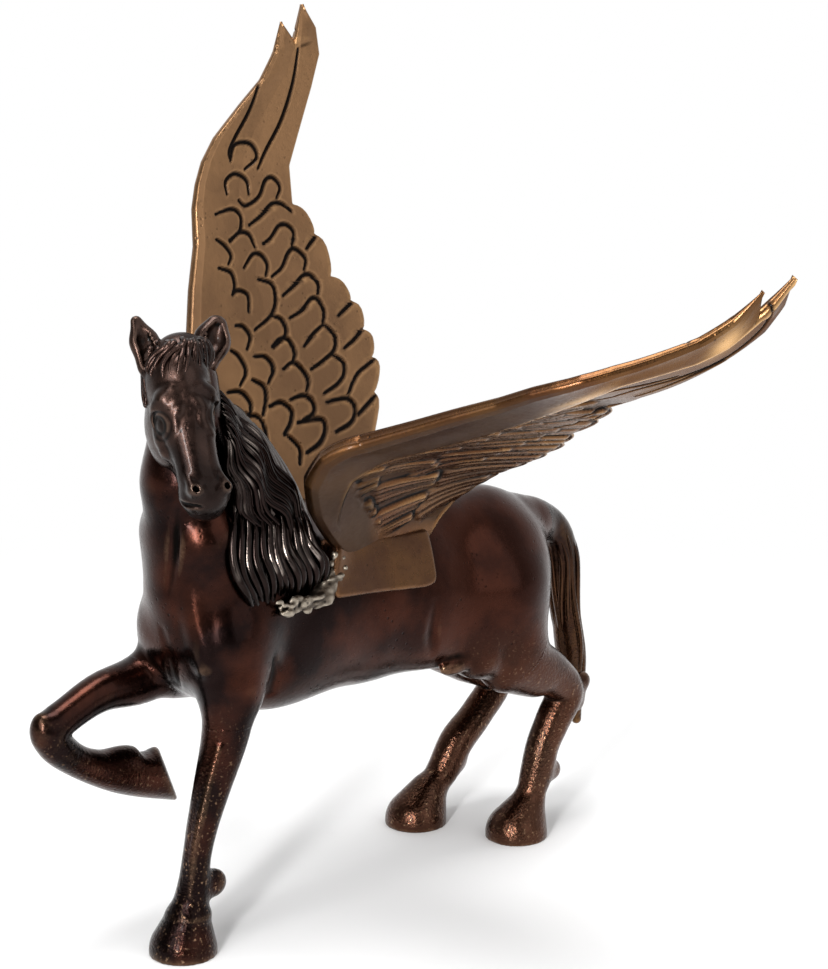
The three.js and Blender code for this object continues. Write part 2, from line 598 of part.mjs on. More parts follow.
// Half section of the blade at a station: distance behind the nose and half thickness
const leadOf = (s) => s * LEADING.at(-1)[0];
const sectionAt = (s, t) => {
  const lead = leadOf(s);
  const chord = Math.hypot((s - lead) * WING_SPAN, (t - between(LEADING, lead)) * WING_CHORD);
  const nose = Math.min(WING_LEADING_RADIUS * (1 - 0.6 * s), chord / 6);
  const plate = WING_PLATE * (1 - 0.4 * s) / 2;
  return [
    [0, 0], [0.3 * nose, 0.72 * nose], [1.2 * nose, nose], [3 * nose, 0.75 * nose + 0.25 * plate],
    [Math.max(4.5 * nose, 0.45 * chord), plate], [chord - 0.4, plate * 0.8], [chord, plate * 0.3],
  ];
};

// Blade: a ring of section points for each station, nose first; grow makes it larger all round
const wingBlade = (setting, grow = 0) => {
  const place = wingPlace(setting);
  const points = [];
  for (const [s, t] of trailing) {
    const lead = leadOf(s);
    const t0 = between(LEADING, lead);
    const half = sectionAt(s, t).slice(1);
    const chord = half.at(-1)[0];
    half.at(-1)[0] += grow;
    const ring = [[-grow, 0], ...half.map(([x, h]) => [x, h + grow])];
    ring.push(...half.map(([x, h]) => [x, -h - grow]).reverse());
    for (const [x, h] of ring) {
      points.push(place(lead + (s - lead) * x / chord, t0 + (t - t0) * x / chord, h));
    }
  }
  return tube(points, points.length / trailing.length, setting.side > 0);
};

// Prism on a wing over a convex outline given as shares of span and chord, between two heights
const wingPrism = (setting, outline, low, high) => {
  const place = wingPlace(setting);
  const turned = setting.side > 0 ? outline : [...outline].reverse();
  const n = turned.length;
  const points = [low, high].flatMap((w) => turned.map(([s, t]) => place(s, t, w)));
  const faces = [];
  for (let i = 0; i < n; i += 1) {
    const j = (i + 1) % n;
    faces.push(i, j, n + j, i, n + j, n + i);
    if (i > 0 && i < n - 1) {
      faces.push(0, i + 1, i, n, n + i, n + i + 1);
    }
  }
  return solid(flat(points), faces);
};

// Half thickness of the blade under a point of its face
const halfAt = (s, t) => {
  const back = trailing.reduce((best, p) => (Math.abs(p[0] - s) < Math.abs(best[0] - s) ? p : best));
  return between(sectionAt(s, back[1]), Math.max(0, t - between(LEADING, leadOf(s))) * WING_CHORD);
};

// The fingers at the tip are parted by a wedge
const SPLIT = [[0.931, 0.449], [1.02, 0.441], [1.02, 0.519]];

// Chased lines on the inner face, each a bow round the end of one feather
const CHASED = [
  [[0.256, -0.041], [0.254, 0.017], [0.232, 0.049], [0.21, 0.028]],
  [[0.266, 0.022], [0.292, 0.056], [0.322, 0.033], [0.335, 0.001]],
  [[0.216, 0.012], [0.205, 0.071], [0.178, 0.071], [0.153, 0.038]],
  [[0.275, 0.081], [0.259, 0.128], [0.235, 0.124], [0.211, 0.092]],
  [[0.335, 0.076], [0.358, 0.097], [0.379, 0.071], [0.382, 0.038]],
  [[0.407, 0.108], [0.439, 0.113], [0.45, 0.071], [0.442, 0.044]],
  [[0.442, 0.044], [0.461, 0.06], [0.485, 0.049], [0.496, -0.004]],
  [[0.502, 0.044], [0.518, 0.06], [0.537, 0.038], [0.551, 0.001]],
  [[0.548, 0.06], [0.564, 0.113], [0.592, 0.128], [0.608, 0.092], [0.6, 0.012]],
  [[0.638, 0.076], [0.662, 0.076], [0.676, 0.124], [0.662, 0.172], [0.635, 0.177]],
  [[0.624, 0.128], [0.613, 0.156], [0.629, 0.221], [0.659, 0.256],
    [0.665, 0.29], [0.646, 0.321], [0.624, 0.3]],
  [[0.701, 0.108], [0.732, 0.135], [0.733, 0.205], [0.706, 0.231], [0.684, 0.172]],
  [[0.701, 0.108], [0.727, 0.113], [0.793, 0.209], [0.843, 0.264]],
  [[0.684, 0.231], [0.717, 0.273], [0.776, 0.359], [0.848, 0.428], [0.913, 0.465]],
  [[0.175, 0.167], [0.15, 0.204], [0.126, 0.172]],
  [[0.224, 0.135], [0.229, 0.188], [0.213, 0.226], [0.192, 0.204], [0.175, 0.156]],
  [[0.265, 0.151], [0.292, 0.183], [0.316, 0.156], [0.32, 0.103]],
  [[0.333, 0.199], [0.352, 0.253], [0.368, 0.265], [0.388, 0.247], [0.395, 0.212]],
  [[0.371, 0.124], [0.395, 0.204], [0.423, 0.236], [0.456, 0.231], [0.469, 0.172]],
  [[0.493, 0.113], [0.518, 0.162], [0.515, 0.199], [0.496, 0.221], [0.475, 0.209]],
  [[0.545, 0.064], [0.562, 0.113], [0.556, 0.156], [0.531, 0.176]],
  [[0.142, 0.231], [0.156, 0.317], [0.178, 0.364], [0.194, 0.349], [0.192, 0.241]],
  [[0.196, 0.273], [0.205, 0.327], [0.224, 0.333], [0.237, 0.3], [0.232, 0.236]],
  [[0.243, 0.317], [0.265, 0.333], [0.29, 0.305], [0.301, 0.273], [0.29, 0.231]],
  [[0.301, 0.273], [0.319, 0.29], [0.346, 0.269], [0.349, 0.231], [0.335, 0.192]],
  [[0.472, 0.236], [0.488, 0.285], [0.515, 0.321], [0.523, 0.354], [0.502, 0.397], [0.48, 0.385]],
  [[0.537, 0.215], [0.548, 0.253], [0.57, 0.295], [0.57, 0.333], [0.554, 0.359], [0.531, 0.344]],
  [[0.575, 0.162], [0.592, 0.221], [0.613, 0.273], [0.613, 0.317], [0.597, 0.359]],
  [[0.388, 0.29], [0.401, 0.349], [0.423, 0.401], [0.417, 0.433], [0.392, 0.449], [0.368, 0.433]],
  [[0.433, 0.273], [0.45, 0.327], [0.469, 0.376], [0.469, 0.41], [0.45, 0.44], [0.431, 0.433]],
  [[0.33, 0.337], [0.352, 0.385], [0.368, 0.433]],
  [[0.284, 0.354], [0.301, 0.423], [0.319, 0.474], [0.346, 0.482], [0.368, 0.445]],
  [[0.237, 0.397], [0.251, 0.465], [0.27, 0.504], [0.292, 0.504], [0.308, 0.465]],
  [[0.17, 0.41], [0.183, 0.497], [0.205, 0.529], [0.224, 0.497], [0.221, 0.401]],
  [[0.194, 0.538], [0.213, 0.603], [0.225, 0.641]],
  [[0.232, 0.509], [0.265, 0.562], [0.281, 0.615], [0.292, 0.654]],
  [[0.319, 0.519], [0.335, 0.573], [0.354, 0.615]],
  [[0.384, 0.513], [0.408, 0.583]],
  [[0.521, 0.408], [0.544, 0.456]],
];
const chasedLine = (setting, line) => {
  const place = wingPlace(setting);
  const curve = new THREE.SplineCurve(line.map(([s, t]) => new THREE.Vector2(s * WING_SPAN, t * WING_CHORD)));
  const steps = Math.max(3, line.length);
  const points = [];
  for (let i = 0; i <= steps; i += 1) {
    const p = curve.getPoint(i / steps);
    const along = curve.getTangent(i / steps);
    const half = halfAt(p.x / WING_SPAN, p.y / WING_CHORD);
    for (const [off, w] of [[-0.5, 0.3], [0.5, 0.3], [0, -CHASED_DEPTH]]) {
      const x = p.x - along.y * off * CHASED_WIDTH;
      const y = p.y + along.x * off * CHASED_WIDTH;
      points.push(place(x / WING_SPAN, y / WING_CHORD, half + w));
    }
  }
  return tube(points, 3, setting.side > 0);
};

// Relief feathers on the outer face: tips and roots of each tier, count and half width in millimetres
const TIERS = [
  { tips: [[0.085, 0.097], [0.137, 0.045], [0.203, 0.02]], back: [0.03, 0.15], count: 6, half: 1.7 },
  { tips: [[0.088, 0.3], [0.17, 0.36], [0.255, 0.24]], back: [0.045, 0.235], count: 6, half: 2.2 },
  { tips: [[0.33, 0.27], [0.42, 0.28], [0.53, 0.29]], back: [0.06, 0.14], count: 5, half: 2.6 },
  { tips: [[0.3, 0.44], [0.42, 0.42], [0.57, 0.37]], back: [0.06, 0.16], count: 5, half: 3 },
];
const relief = TIERS.flatMap(({ tips, back, count, half }) => {
  const line = new THREE.SplineCurve(tips.map((p) => new THREE.Vector2(...p)));
  return Array.from({ length: count }, (_, i) => {
    const tip = line.getPointAt(i / (count - 1)).toArray();
    return { tip, base: [tip[0] - back[0], tip[1] - back[1]], half };
  });
});
NOTCHES.slice(0, -1).forEach(([s, t], i) => {
  const [s1, t1] = NOTCHES[i + 1];
  const tip = [s + (s1 - s) * 0.6, t + (t1 - t) * 0.6 + LOBE * 0.5];
  const half = 0.42 * (s1 - s) * WING_SPAN;
  relief.push({ tip, base: [tip[0] - 0.06, tip[1] - 0.21], half });
});
const feather = (setting, { tip, base, half }) => {
  const place = wingPlace(setting);
  const along = new THREE.Vector2((tip[0] - base[0]) * WING_SPAN, (tip[1] - base[1]) * WING_CHORD);
  const length = along.length();
  along.normalize();
  const at = (far, side, rise) => {
    const s = base[0] + (along.x * far * length - along.y * side * half) / WING_SPAN;
    const t = base[1] + (along.y * far * length + along.x * side * half) / WING_CHORD;
    return place(s, t, -halfAt(s, t) - rise);
  };
  const rim = [
    at(0, -0.6, -0.25), at(0.5, -1, -0.1), at(0.85, -0.85, -0.1), at(1, 0, -0.1),
    at(0.85, 0.85, -0.1), at(0.5, 1, -0.1), at(0, 0.6, -0.25),
  ];
  const ridge = [at(0.45, 0, FEATHER_RELIEF * 0.6), at(0.82, 0, FEATHER_RELIEF)];
  const faces = [
    0, 1, 7, 1, 2, 8, 1, 8, 7, 2, 3, 8, 3, 4, 8, 4, 5, 8, 5, 7, 8, 5, 6, 7, 6, 0, 7,
    0, 2, 1, 0, 3, 2, 0, 4, 3, 0, 5, 4, 0, 6, 5,
  ];
  const turned = setting.side > 0 ? faces.map((_, i) => faces[i - i % 3 + 2 - i % 3]) : faces;
  return solid(flat([...rim, ...ridge]), turned);
};

// Pad of a wing: a curved flange that follows the flank
const padOutline = new THREE.Shape();
padOutline.moveTo(-0.5, -0.2);
padOutline.quadraticCurveTo(-0.05, -0.37, 0.38, -0.493);
padOutline.quadraticCurveTo(0.475, -0.5, 0.48, -0.2);
padOutline.lineTo(0.488, 0.333);
padOutline.lineTo(-0.381, 0.567);
padOutline.quadraticCurveTo(-0.512, 0.2, -0.5, -0.2);
const padBlock = (side, grow = 0) => {
  const block = new THREE.ExtrudeGeometry(padOutline, { depth: 1, bevelEnabled: false, curveSegments: 5 });
  block.scale(PAD_LENGTH + 2 * grow, PAD_HEIGHT + 2 * grow, TRUNK_WIDTH);
  block.applyMatrix4(new THREE.Matrix4().makeBasis(V(0, 1, 0), V(0, 0, 1), V(1, 0, 0)));
  block.translate(side > 0 ? 2 : -2 - TRUNK_WIDTH, PAD_Y, PAD_Z);
  return fromGeometry(block);
};
for (const [name, setting] of Object.entries(WINGS)) {
  const near = new THREE.Box3();
  near.expandByPoint(V(setting.side * 2, PAD_Y - PAD_LENGTH, PAD_Z - PAD_HEIGHT));
  near.expandByPoint(V(setting.side * 1.05 * TRUNK_WIDTH, PAD_Y + PAD_LENGTH, PAD_Z + PAD_HEIGHT));
  const flange = sculpt(torso, FACET.pad, PAD_THICKNESS, near).intersect(padBlock(setting.side));
  let blade = wingBlade(setting).add(wasm.Manifold.union(relief.map((f) => feather(setting, f))));
  blade = blade.subtract(wasm.Manifold.union(CHASED.map((line) => chasedLine(setting, line))));
  blade = blade.subtract(wingPrism(setting, SPLIT, -6, 6));
  pieces[name] = blade.add(flange).subtract(bodyRoom);
}

// Mane: overlapping wavy locks that fall on the left side of the neck
const LOCKS = 8;
const LOCK_PATH = [
  [onNeck(3, 4, 0.78), onNeck(5, 22, 0.5)],
  [onNeck(9, 9, 0.56), onNeck(11, 29, 0.26)],
  [onNeck(14, 5, 0.22), onNeck(15, 32, 0.06)],
  [onNeck(16, 5, -0.04), onNeck(17, 34, -0.08)],
  [onNeck(16.5, 9, -0.23), onNeck(17.5, 31, -0.23)],
];
const LOCK_GIRTH = [0.5, 0.9, 1, 1, 1, 0.95, 0.6];
const lockOf = (i, grow) => {
  const u = i / (LOCKS - 1);
  const wave = i % 2 ? 0.8 : -0.8;
  const curve = new THREE.CatmullRomCurve3(LOCK_PATH.map(([front, rear], k) => (
    V(...front).lerp(V(...rear), u).add(V(wave, k % 2 ? 1.5 : -1, k === 4 ? 3 * wave : 0))
  )));
  const points = [];
  LOCK_GIRTH.forEach((r, k) => {
    const at = curve.getPoint(k / (LOCK_GIRTH.length - 1));
    const down = curve.getTangent(k / (LOCK_GIRTH.length - 1));
    const out = V(1, 0, 0).addScaledVector(down, -down.x).normalize();
    const aside = down.clone().cross(out);
    for (let n = 0; n < 6; n += 1) {
      const a = n * Math.PI / 3;
      points.push(at.clone().addScaledVector(aside, (3.2 * r + grow) * Math.cos(a))
        .addScaledVector(out, (4.2 * r + grow) * Math.sin(a)));
    }
  });
  return tube(points, 6, true);
};
const locks = (grow) => wasm.Manifold.union(Array.from({ length: LOCKS }, (_, i) => lockOf(i, grow)));
const padRoom = padBlock(1, JOINT_GAP).add(wingBlade(WINGS.left_wing, JOINT_GAP));
pieces.mane = locks(0).subtract(bodyRoom).subtract(headRoom).subtract(padRoom);

// Solder at the front corner of the left pad
const onPad = (x, y, z) => [x * TRUNK_WIDTH, PAD_Y - PAD_LENGTH / 2 + y, PAD_Z + z];
const solderLumps = [
  ball(onPad(0.474, -4, -3), [5, 6, 4.5], 3),
  limb(onPad(0.447, -11, -6.5), 3.2, onPad(0.421, 1, 4), 3.4, 3),
];
pieces.left_wing_solder = sculpt(solderLumps, FACET.solder).subtract(bodyRoom)
  .subtract(locks(JOINT_GAP)).subtract(padRoom);

// Colours of the patinated brass
const COLOURS = {
  body_left_half: 0x4a2f22,
  body_right_half: 0x4a2f22,
  head: 0x33231d,
  mane: 0x2b2220,
  left_foreleg: 0x472e22,
  right_foreleg: 0x3a2821,
  left_hindleg: 0x533524,
  right_hindleg: 0x533524,
  tail: 0x3c271e,
  left_wing: 0x7a5a38,
  right_wing: 0x86663f,
  left_wing_solder: 0xb5aa98,
};

const bounds = new THREE.Box3();
const meshes = Object.entries(pieces).map(([name, shape]) => {
  const facets = mainBody(shape).getMesh();
  const geometry = new THREE.BufferGeometry();
  geometry.setAttribute("position", new THREE.BufferAttribute(new Float32Array(facets.vertProperties), 3));
  geometry.setIndex(new THREE.BufferAttribute(new Uint32Array(facets.triVerts), 1));
  geometry.computeVertexNormals();
  geometry.computeBoundingBox();
  bounds.union(geometry.boundingBox);
  const material = new THREE.MeshStandardMaterial({ color: COLOURS[name], roughness: 0.35, metalness: 1 });
  const mesh = new THREE.Mesh(geometry, material);
  mesh.name = name;
  return mesh;
});

// Origin: on the table, under the middle of the bounding box
const middle = bounds.getCenter(V(0, 0, 0));
const figurine = new THREE.Group();
figurine.name = "winged_horse_figurine";
for (const mesh of meshes) {
  mesh.geometry.translate(-middle.x, -middle.y, -bounds.min.z);
  figurine.add(mesh);
}

export default figurine;
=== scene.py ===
# %% [markdown]
# # A winged horse in cast brass
#
# The figurine is about as tall as a hand is long: 255 mm from the soles to the tip of the raised wing.
# Real ones are cast in sand or wax in several pieces, brazed together, filed, chased with a punch and
# then darkened with a chemical patina. The patina stays in the hollows and is rubbed off the ridges.
#
# The solid model that comes with the frame already has every piece in its place. This lesson puts a
# finer skin over each piece and gives it the metal that the eye expects.

# %% The frame
import bpy
import numpy as np
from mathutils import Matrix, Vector


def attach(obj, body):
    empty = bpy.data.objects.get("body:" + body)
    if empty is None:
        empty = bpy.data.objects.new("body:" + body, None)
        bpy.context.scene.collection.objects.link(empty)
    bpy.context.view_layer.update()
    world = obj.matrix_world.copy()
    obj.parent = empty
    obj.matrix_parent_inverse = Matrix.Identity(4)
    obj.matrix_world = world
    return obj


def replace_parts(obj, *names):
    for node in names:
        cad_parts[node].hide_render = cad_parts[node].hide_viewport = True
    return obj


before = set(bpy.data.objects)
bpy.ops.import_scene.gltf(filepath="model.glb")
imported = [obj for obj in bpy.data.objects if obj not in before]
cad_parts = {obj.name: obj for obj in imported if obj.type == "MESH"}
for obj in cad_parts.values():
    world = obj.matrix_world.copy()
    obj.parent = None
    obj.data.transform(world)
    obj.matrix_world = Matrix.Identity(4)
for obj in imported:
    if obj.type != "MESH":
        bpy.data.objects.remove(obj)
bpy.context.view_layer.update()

# %% [markdown]
# ## Landmarks
#
# The modelling happens in millimetres, in the frame that the solid model was made in: the ground is
# z = 0 and the middle of the chest is near x = 0. `ORIGIN` is the point under the middle of the
# finished box. Taking it away and dividing by 1000 gives metres in the shared frame.

# %% Landmarks in millimetres
ORIGIN = np.array([39.537, 5.306, 0.0])
BELLY, LENGTH, WIDTH, DEPTH = 60.0, 110.0, 38.0, 50.0
STANCE, NECK, HEAD, TAIL = 28.0, 64.0, 54.0, 71.0
SHOULDER, HIP, RUMP = -0.455 * LENGTH, 0.545 * LENGTH, 0.709 * LENGTH
WITHERS, DOCK = BELLY + DEPTH, BELLY + 0.72 * DEPTH
SPAN, CHORD = 153.0, 78.0
PAD_Y, PAD_Z, PAD_SIZE = 0.073 * LENGTH, WITHERS - 10, (42.0, 15.0)
RANDOM = np.random.default_rng(7)


def metres(points):
    return (np.asarray(points, float) - ORIGIN) / 1000


print("withers at", WITHERS, "mm, dock at", DOCK, "mm")

# %% [markdown]
# ## Clay
#
# A cast animal has no hard edges, so it is modelled like clay. Every muscle or bone is a lump with a
# distance function: negative inside, positive outside. Two kinds of lump are enough. A limb is a round
# cone, thick at one end and thin at the other, and a ball is an ellipsoid. Lumps melt into each other
# over a few millimetres, and a lump marked as a cut is taken away in the same soft way.

# %% Two kinds of lump
def limb(a, ra, b, rb, blend=4.0, squash=None, cut=False):
    a, b = np.array(a, float), np.array(b, float)
    mid, lo = (a + b) / 2, np.minimum(a - ra, b - rb)
    hi = np.maximum(a + ra, b + rb)
    along, soft = None, 1.0
    if squash:
        along = np.array(squash[0], float)
        along /= np.linalg.norm(along)
        soft = min(1.0, squash[1]) ** 0.5

    def pull(p):
        if along is None:
            return p
        return p + ((p - mid) @ along)[..., None] * along * (1 / squash[1] - 1)

    start, end = pull(a), pull(b)
    ab = end - start
    l2 = max(ab @ ab, 1e-9)
    dr = ra - rb
    a2 = max(l2 - dr * dr, 1e-6)

    def at(p):
        pa = pull(p) - start
        y = pa @ ab
        z = y - l2
        x2 = np.sum((pa * l2 - y[..., None] * ab) ** 2, -1)
        side = np.sign(dr) * dr * dr * x2
        body = (np.sqrt(x2 * a2 / l2) + y * dr) / l2 - ra
        body = np.where(np.sign(y) * a2 * y * y * l2 < side, np.sqrt(x2 + y * y * l2) / l2 - ra, body)
        tip = np.sign(z) * a2 * z * z * l2 > side
        return soft * np.where(tip, np.sqrt(x2 + z * z * l2) / l2 - rb, body)

    return dict(at=at, blend=blend, lo=lo, hi=hi, cut=cut)


def ball(c, r, blend=4.0, axes=None, cut=False):
    c, r = np.array(c, float), np.array(r, float)
    turn = np.eye(3) if axes is None else np.array(axes, float)

    def at(p):
        w = (p - c) @ turn.T
        k0 = np.linalg.norm(w / r, axis=-1)
        k1 = np.maximum(np.linalg.norm(w / r ** 2, axis=-1), 1e-6)
        return k0 * (k0 - 1) / k1

    reach = r if axes is None else np.full(3, r.max())
    return dict(at=at, blend=blend, lo=c - reach, hi=c + reach, cut=cut)


def mirrored(lumps):
    flip = np.array([-1, 1, 1])
    return [dict(lump, at=lambda p, at=lump["at"]: at(p * flip),
                 lo=np.array([-lump["hi"][0], *lump["lo"][1:]]),
                 hi=np.array([-lump["lo"][0], *lump["hi"][1:]])) for lump in lumps]


# %% [markdown]
# ## Melting the lumps together
#
# `join` is a smooth minimum: where two distances are nearly the same it dips a little, and that dip is
# the fillet. A lump is only measured close to its own box, which makes it about ten times faster.

# %% Melting
def join(d, e, k, cut):
    if cut:
        h = np.maximum(k - np.abs(d + e), 0) / k
        return np.maximum(d, -e) + h * h * k * 0.25
    h = np.maximum(k - np.abs(d - e), 0) / k
    return np.minimum(d, e) - h * h * k * 0.25


def clay(lumps, points):
    d = np.full(len(points), 60.0)
    for lump in lumps:
        pad = lump["blend"] + 4
        near = np.all((points > lump["lo"] - pad) & (points < lump["hi"] + pad), axis=1)
        if near.any():
            d[near] = join(d[near], lump["at"](points[near]), lump["blend"], lump["cut"])
    return d


def clay_grid(lumps, axes):
    d = np.full([len(a) for a in axes], 60.0)
    for lump in lumps:
        pad = lump["blend"] + 4
        cut = [slice(*np.searchsorted(a, [lo - pad, hi + pad]))
               for a, lo, hi in zip(axes, lump["lo"], lump["hi"])]
        here = d[tuple(cut)]
        if here.size:
            grid = np.stack(np.meshgrid(*[a[c] for a, c in zip(axes, cut)], indexing="ij"), -1)
            d[tuple(cut)] = join(here, lump["at"](grid), lump["blend"], lump["cut"])
    return d


# %% [markdown]
# ## Smooth lines
#
# Brows, veins of a feather, chased lines and hair all follow curves. A few points give the curve its
# course, and this function draws a smooth line through them.

# %% A smooth line
def smooth_line(points, steps=24):
    """A Catmull-Rom curve through the given points, each of any number of coordinates."""
    p = np.array(points, float)
    p = np.vstack([2 * p[0] - p[1], p, 2 * p[-1] - p[-2]])
    x = np.linspace(0, len(p) - 3 - 1e-9, steps)
    i, u = x.astype(int), (x % 1)[:, None]
    a, b, c, d = p[i], p[i + 1], p[i + 2], p[i + 3]
    return 0.5 * (2 * b + (c - a) * u + (2 * a - 5 * b + 4 * c - d) * u ** 2
                  + (3 * b - a - 3 * c + d) * u ** 3)


def tube(spots, blend=4.0, steps=20, cut=False):
    """A lump along a smooth line. Each spot is x, y, z and the radius there, in millimetres."""
    line = smooth_line([[*place, r] for place, r in spots], steps)
    parts = [limb(a[:3], a[3], b[:3], b[3]) for a, b in zip(line[:-1], line[1:])]

    def at(p):
        flat = p.reshape(-1, 3)
        d = np.full(len(flat), 60.0)
        for part in parts:
            near = np.all((flat > part["lo"] - 6) & (flat < part["hi"] + 6), axis=1)
            d[near] = np.minimum(d[near], part["at"](flat[near]))
        return d.reshape(p.shape[:-1])

    lo, hi = np.min([m["lo"] for m in parts], 0), np.max([m["hi"] for m in parts], 0)
    return dict(at=at, blend=blend, lo=lo, hi=hi, cut=cut)


print("a smooth line through 3 points:", smooth_line([[0, 0], [1, 1], [2, 0]], 5).round(2).tolist())

# %% [markdown]
# ## A skin over the clay
#
# The clay is sampled on a fine grid. Every grid cell that the surface passes through gets one corner
# point, the mean of the places where the surface crosses its edges, and neighbouring cells are joined
# by four-sided faces. The points are then drawn onto the surface itself, so that the grid can't be seen.

# %% The skin
def cell_points(d, lo, cell):
    inside = d < 0
    count = sum(inside[i:i - 1 or None, j:j - 1 or None, k:k - 1 or None].astype(np.int8)
                for i in (0, 1) for j in (0, 1) for k in (0, 1))
    cells = np.argwhere((count > 0) & (count < 8))
    number = np.full(count.shape, -1, np.int64)
    number[tuple(cells.T)] = np.arange(len(cells))
    total, hits = np.zeros((len(cells), 3)), np.zeros(len(cells))
    for axis in range(3):
        for u in (0, 1):
            for v in (0, 1):
                near = np.insert([u, v], axis, 0)
                far = np.insert([u, v], axis, 1)
                a, b = d[tuple((cells + near).T)], d[tuple((cells + far).T)]
                m = (a < 0) != (b < 0)
                t = a[m] / (a[m] - b[m])
                total[m] += (cells + near)[m] + t[:, None] * (far - near)
                hits[m] += 1
    return lo + cell * total / hits[:, None], number, inside


def cell_faces(number, inside):
    faces = []
    for axis in range(3):
        u, v = (axis + 1) % 3, (axis + 2) % 3
        step = np.eye(3, dtype=int)
        here = inside
        there = np.roll(inside, -1, axis)
        where = np.argwhere(here != there)
        where = where[(where[:, u] > 0) & (where[:, v] > 0) & (where[:, axis] < inside.shape[axis] - 1)]
        where = where[np.all(where < np.array(number.shape), axis=1)]
        ring = [where - step[u] - step[v], where - step[v], where, where - step[u]]
        quad = np.stack([number[tuple(r.T)] for r in ring], 1)
        out = here[tuple(where.T)]
        faces += [quad[out], quad[~out][:, ::-1]]
    quad = np.concatenate(faces)
    return quad[(quad >= 0).all(1)]


def skin(lumps, cell, lo=None, hi=None, field=None):
    lo = np.min([m["lo"] for m in lumps], 0) - 3 if lo is None else np.array(lo, float)
    hi = np.max([m["hi"] for m in lumps], 0) + 3 if hi is None else np.array(hi, float)
    axes = [np.arange(a, b + 2 * cell, cell) for a, b in zip(lo, hi)]
    d = clay_grid(lumps, axes)
    if field:
        grid = np.stack(np.meshgrid(*axes, indexing="ij"), -1)
        d = field(d, grid)
    d[[0, -1]], d[:, [0, -1]], d[:, :, [0, -1]] = 1, 1, 1
    points, number, inside = cell_points(d, lo, cell)
    faces = cell_faces(number, inside)

    def at(p):
        return field(clay(lumps, p), p) if field else clay(lumps, p)

    for _ in range(2):
        here = at(points)
        slope = np.stack([at(points + 0.05 * e) - here for e in np.eye(3)], 1) / 0.05
        push = -here[:, None] * slope / np.maximum((slope ** 2).sum(1), 0.3)[:, None]
        points = points + np.clip(push, -0.4 * cell, 0.4 * cell)
    return points, faces


# %% [markdown]
# ## From points to a Blender object
#
# A finished object stays at the origin, with its place in its mesh. Each mesh also carries a number per
# point called `hollow`: how far the point lies below the mean of its neighbours. The metals use it to
# leave dark patina in the hollows and to rub the ridges bright, as a polishing cloth does.

# %% Meshes
def measure_hollows(mesh, scale, rounds=3):
    n = len(mesh.vertices)
    points, normals = np.zeros(n * 3), np.zeros(n * 3)
    mesh.vertices.foreach_get("co", points)
    mesh.vertices.foreach_get("normal", normals)
    points, normals = points.reshape(-1, 3), normals.reshape(-1, 3)
    ends = np.zeros(len(mesh.edges) * 2, int)
    mesh.edges.foreach_get("vertices", ends)
    a, b = ends.reshape(-1, 2).T
    degree = np.maximum(np.bincount(a, minlength=n) + np.bincount(b, minlength=n), 1)

    def mean(values):
        total = np.zeros_like(values)
        np.add.at(total, a, values[b])
        np.add.at(total, b, values[a])
        return total / (degree[:, None] if values.ndim > 1 else degree)

    rounded = points
    for _ in range(rounds):
        rounded = mean(rounded)
    hollow = np.sum((rounded - points) * normals, 1) * 1000 / scale
    for _ in range(2):
        hollow = (hollow + mean(hollow)) / 2
    layer = mesh.attributes.new("hollow", "FLOAT", "POINT")
    layer.data.foreach_set("value", np.clip(hollow, -1, 1))


def to_object(name, points, faces, material, scale=0.25, extra=None, calm=None):
    mesh = bpy.data.meshes.new(name)
    mesh.from_pydata(metres(points), [], faces if isinstance(faces, list) else faces.tolist())
    mesh.validate()
    mesh.update()
    mesh.shade_smooth()
    measure_hollows(mesh, scale)
    if calm is not None:
        values = np.zeros(len(mesh.vertices))
        mesh.attributes["hollow"].data.foreach_get("value", values)
        mesh.attributes["hollow"].data.foreach_set("value", values * calm)
    for key, values in (extra or {}).items():
        mesh.attributes.new(key, "FLOAT", "POINT").data.foreach_set("value", values)
    mesh.materials.append(material)
    piece = bpy.data.objects.new(name, mesh)
    bpy.context.scene.collection.objects.link(piece)
    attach(piece, "root")
    print(name, len(mesh.polygons), "faces")
    return piece


# %% [markdown]
# ## Metal
#
# Patinated brass has three colours at once: the patina, the darker patina left in hollows and grooves,
# and the golden metal on ridges that hands and cloths reach. Where a mesh asks for it, the dark colour also
# paints shade and the golden one paints highlights. One function makes all the metals of this
# figurine. The numbers that change are the three colours, how far each reaches, and how rough it is.
# A thin wax coat gives the small white highlights that bare dark metal wouldn't have.

# %% One function that adds a node
def colour(code):
    rgb = [int(code[i:i + 2], 16) / 255 for i in (1, 3, 5)]
    return (*[c / 12.92 if c <= 0.04045 else ((c + 0.055) / 1.055) ** 2.4 for c in rgb], 1)


def add(tree, kind, inputs=None, **settings):
    node = tree.nodes.new(kind)
    for key, value in settings.items():
        setattr(node, key, value)
    for key, value in (inputs or {}).items():
        if isinstance(value, bpy.types.NodeSocket):
            tree.links.new(value, node.inputs[key])
        else:
            node.inputs[key].default_value = value
    return node


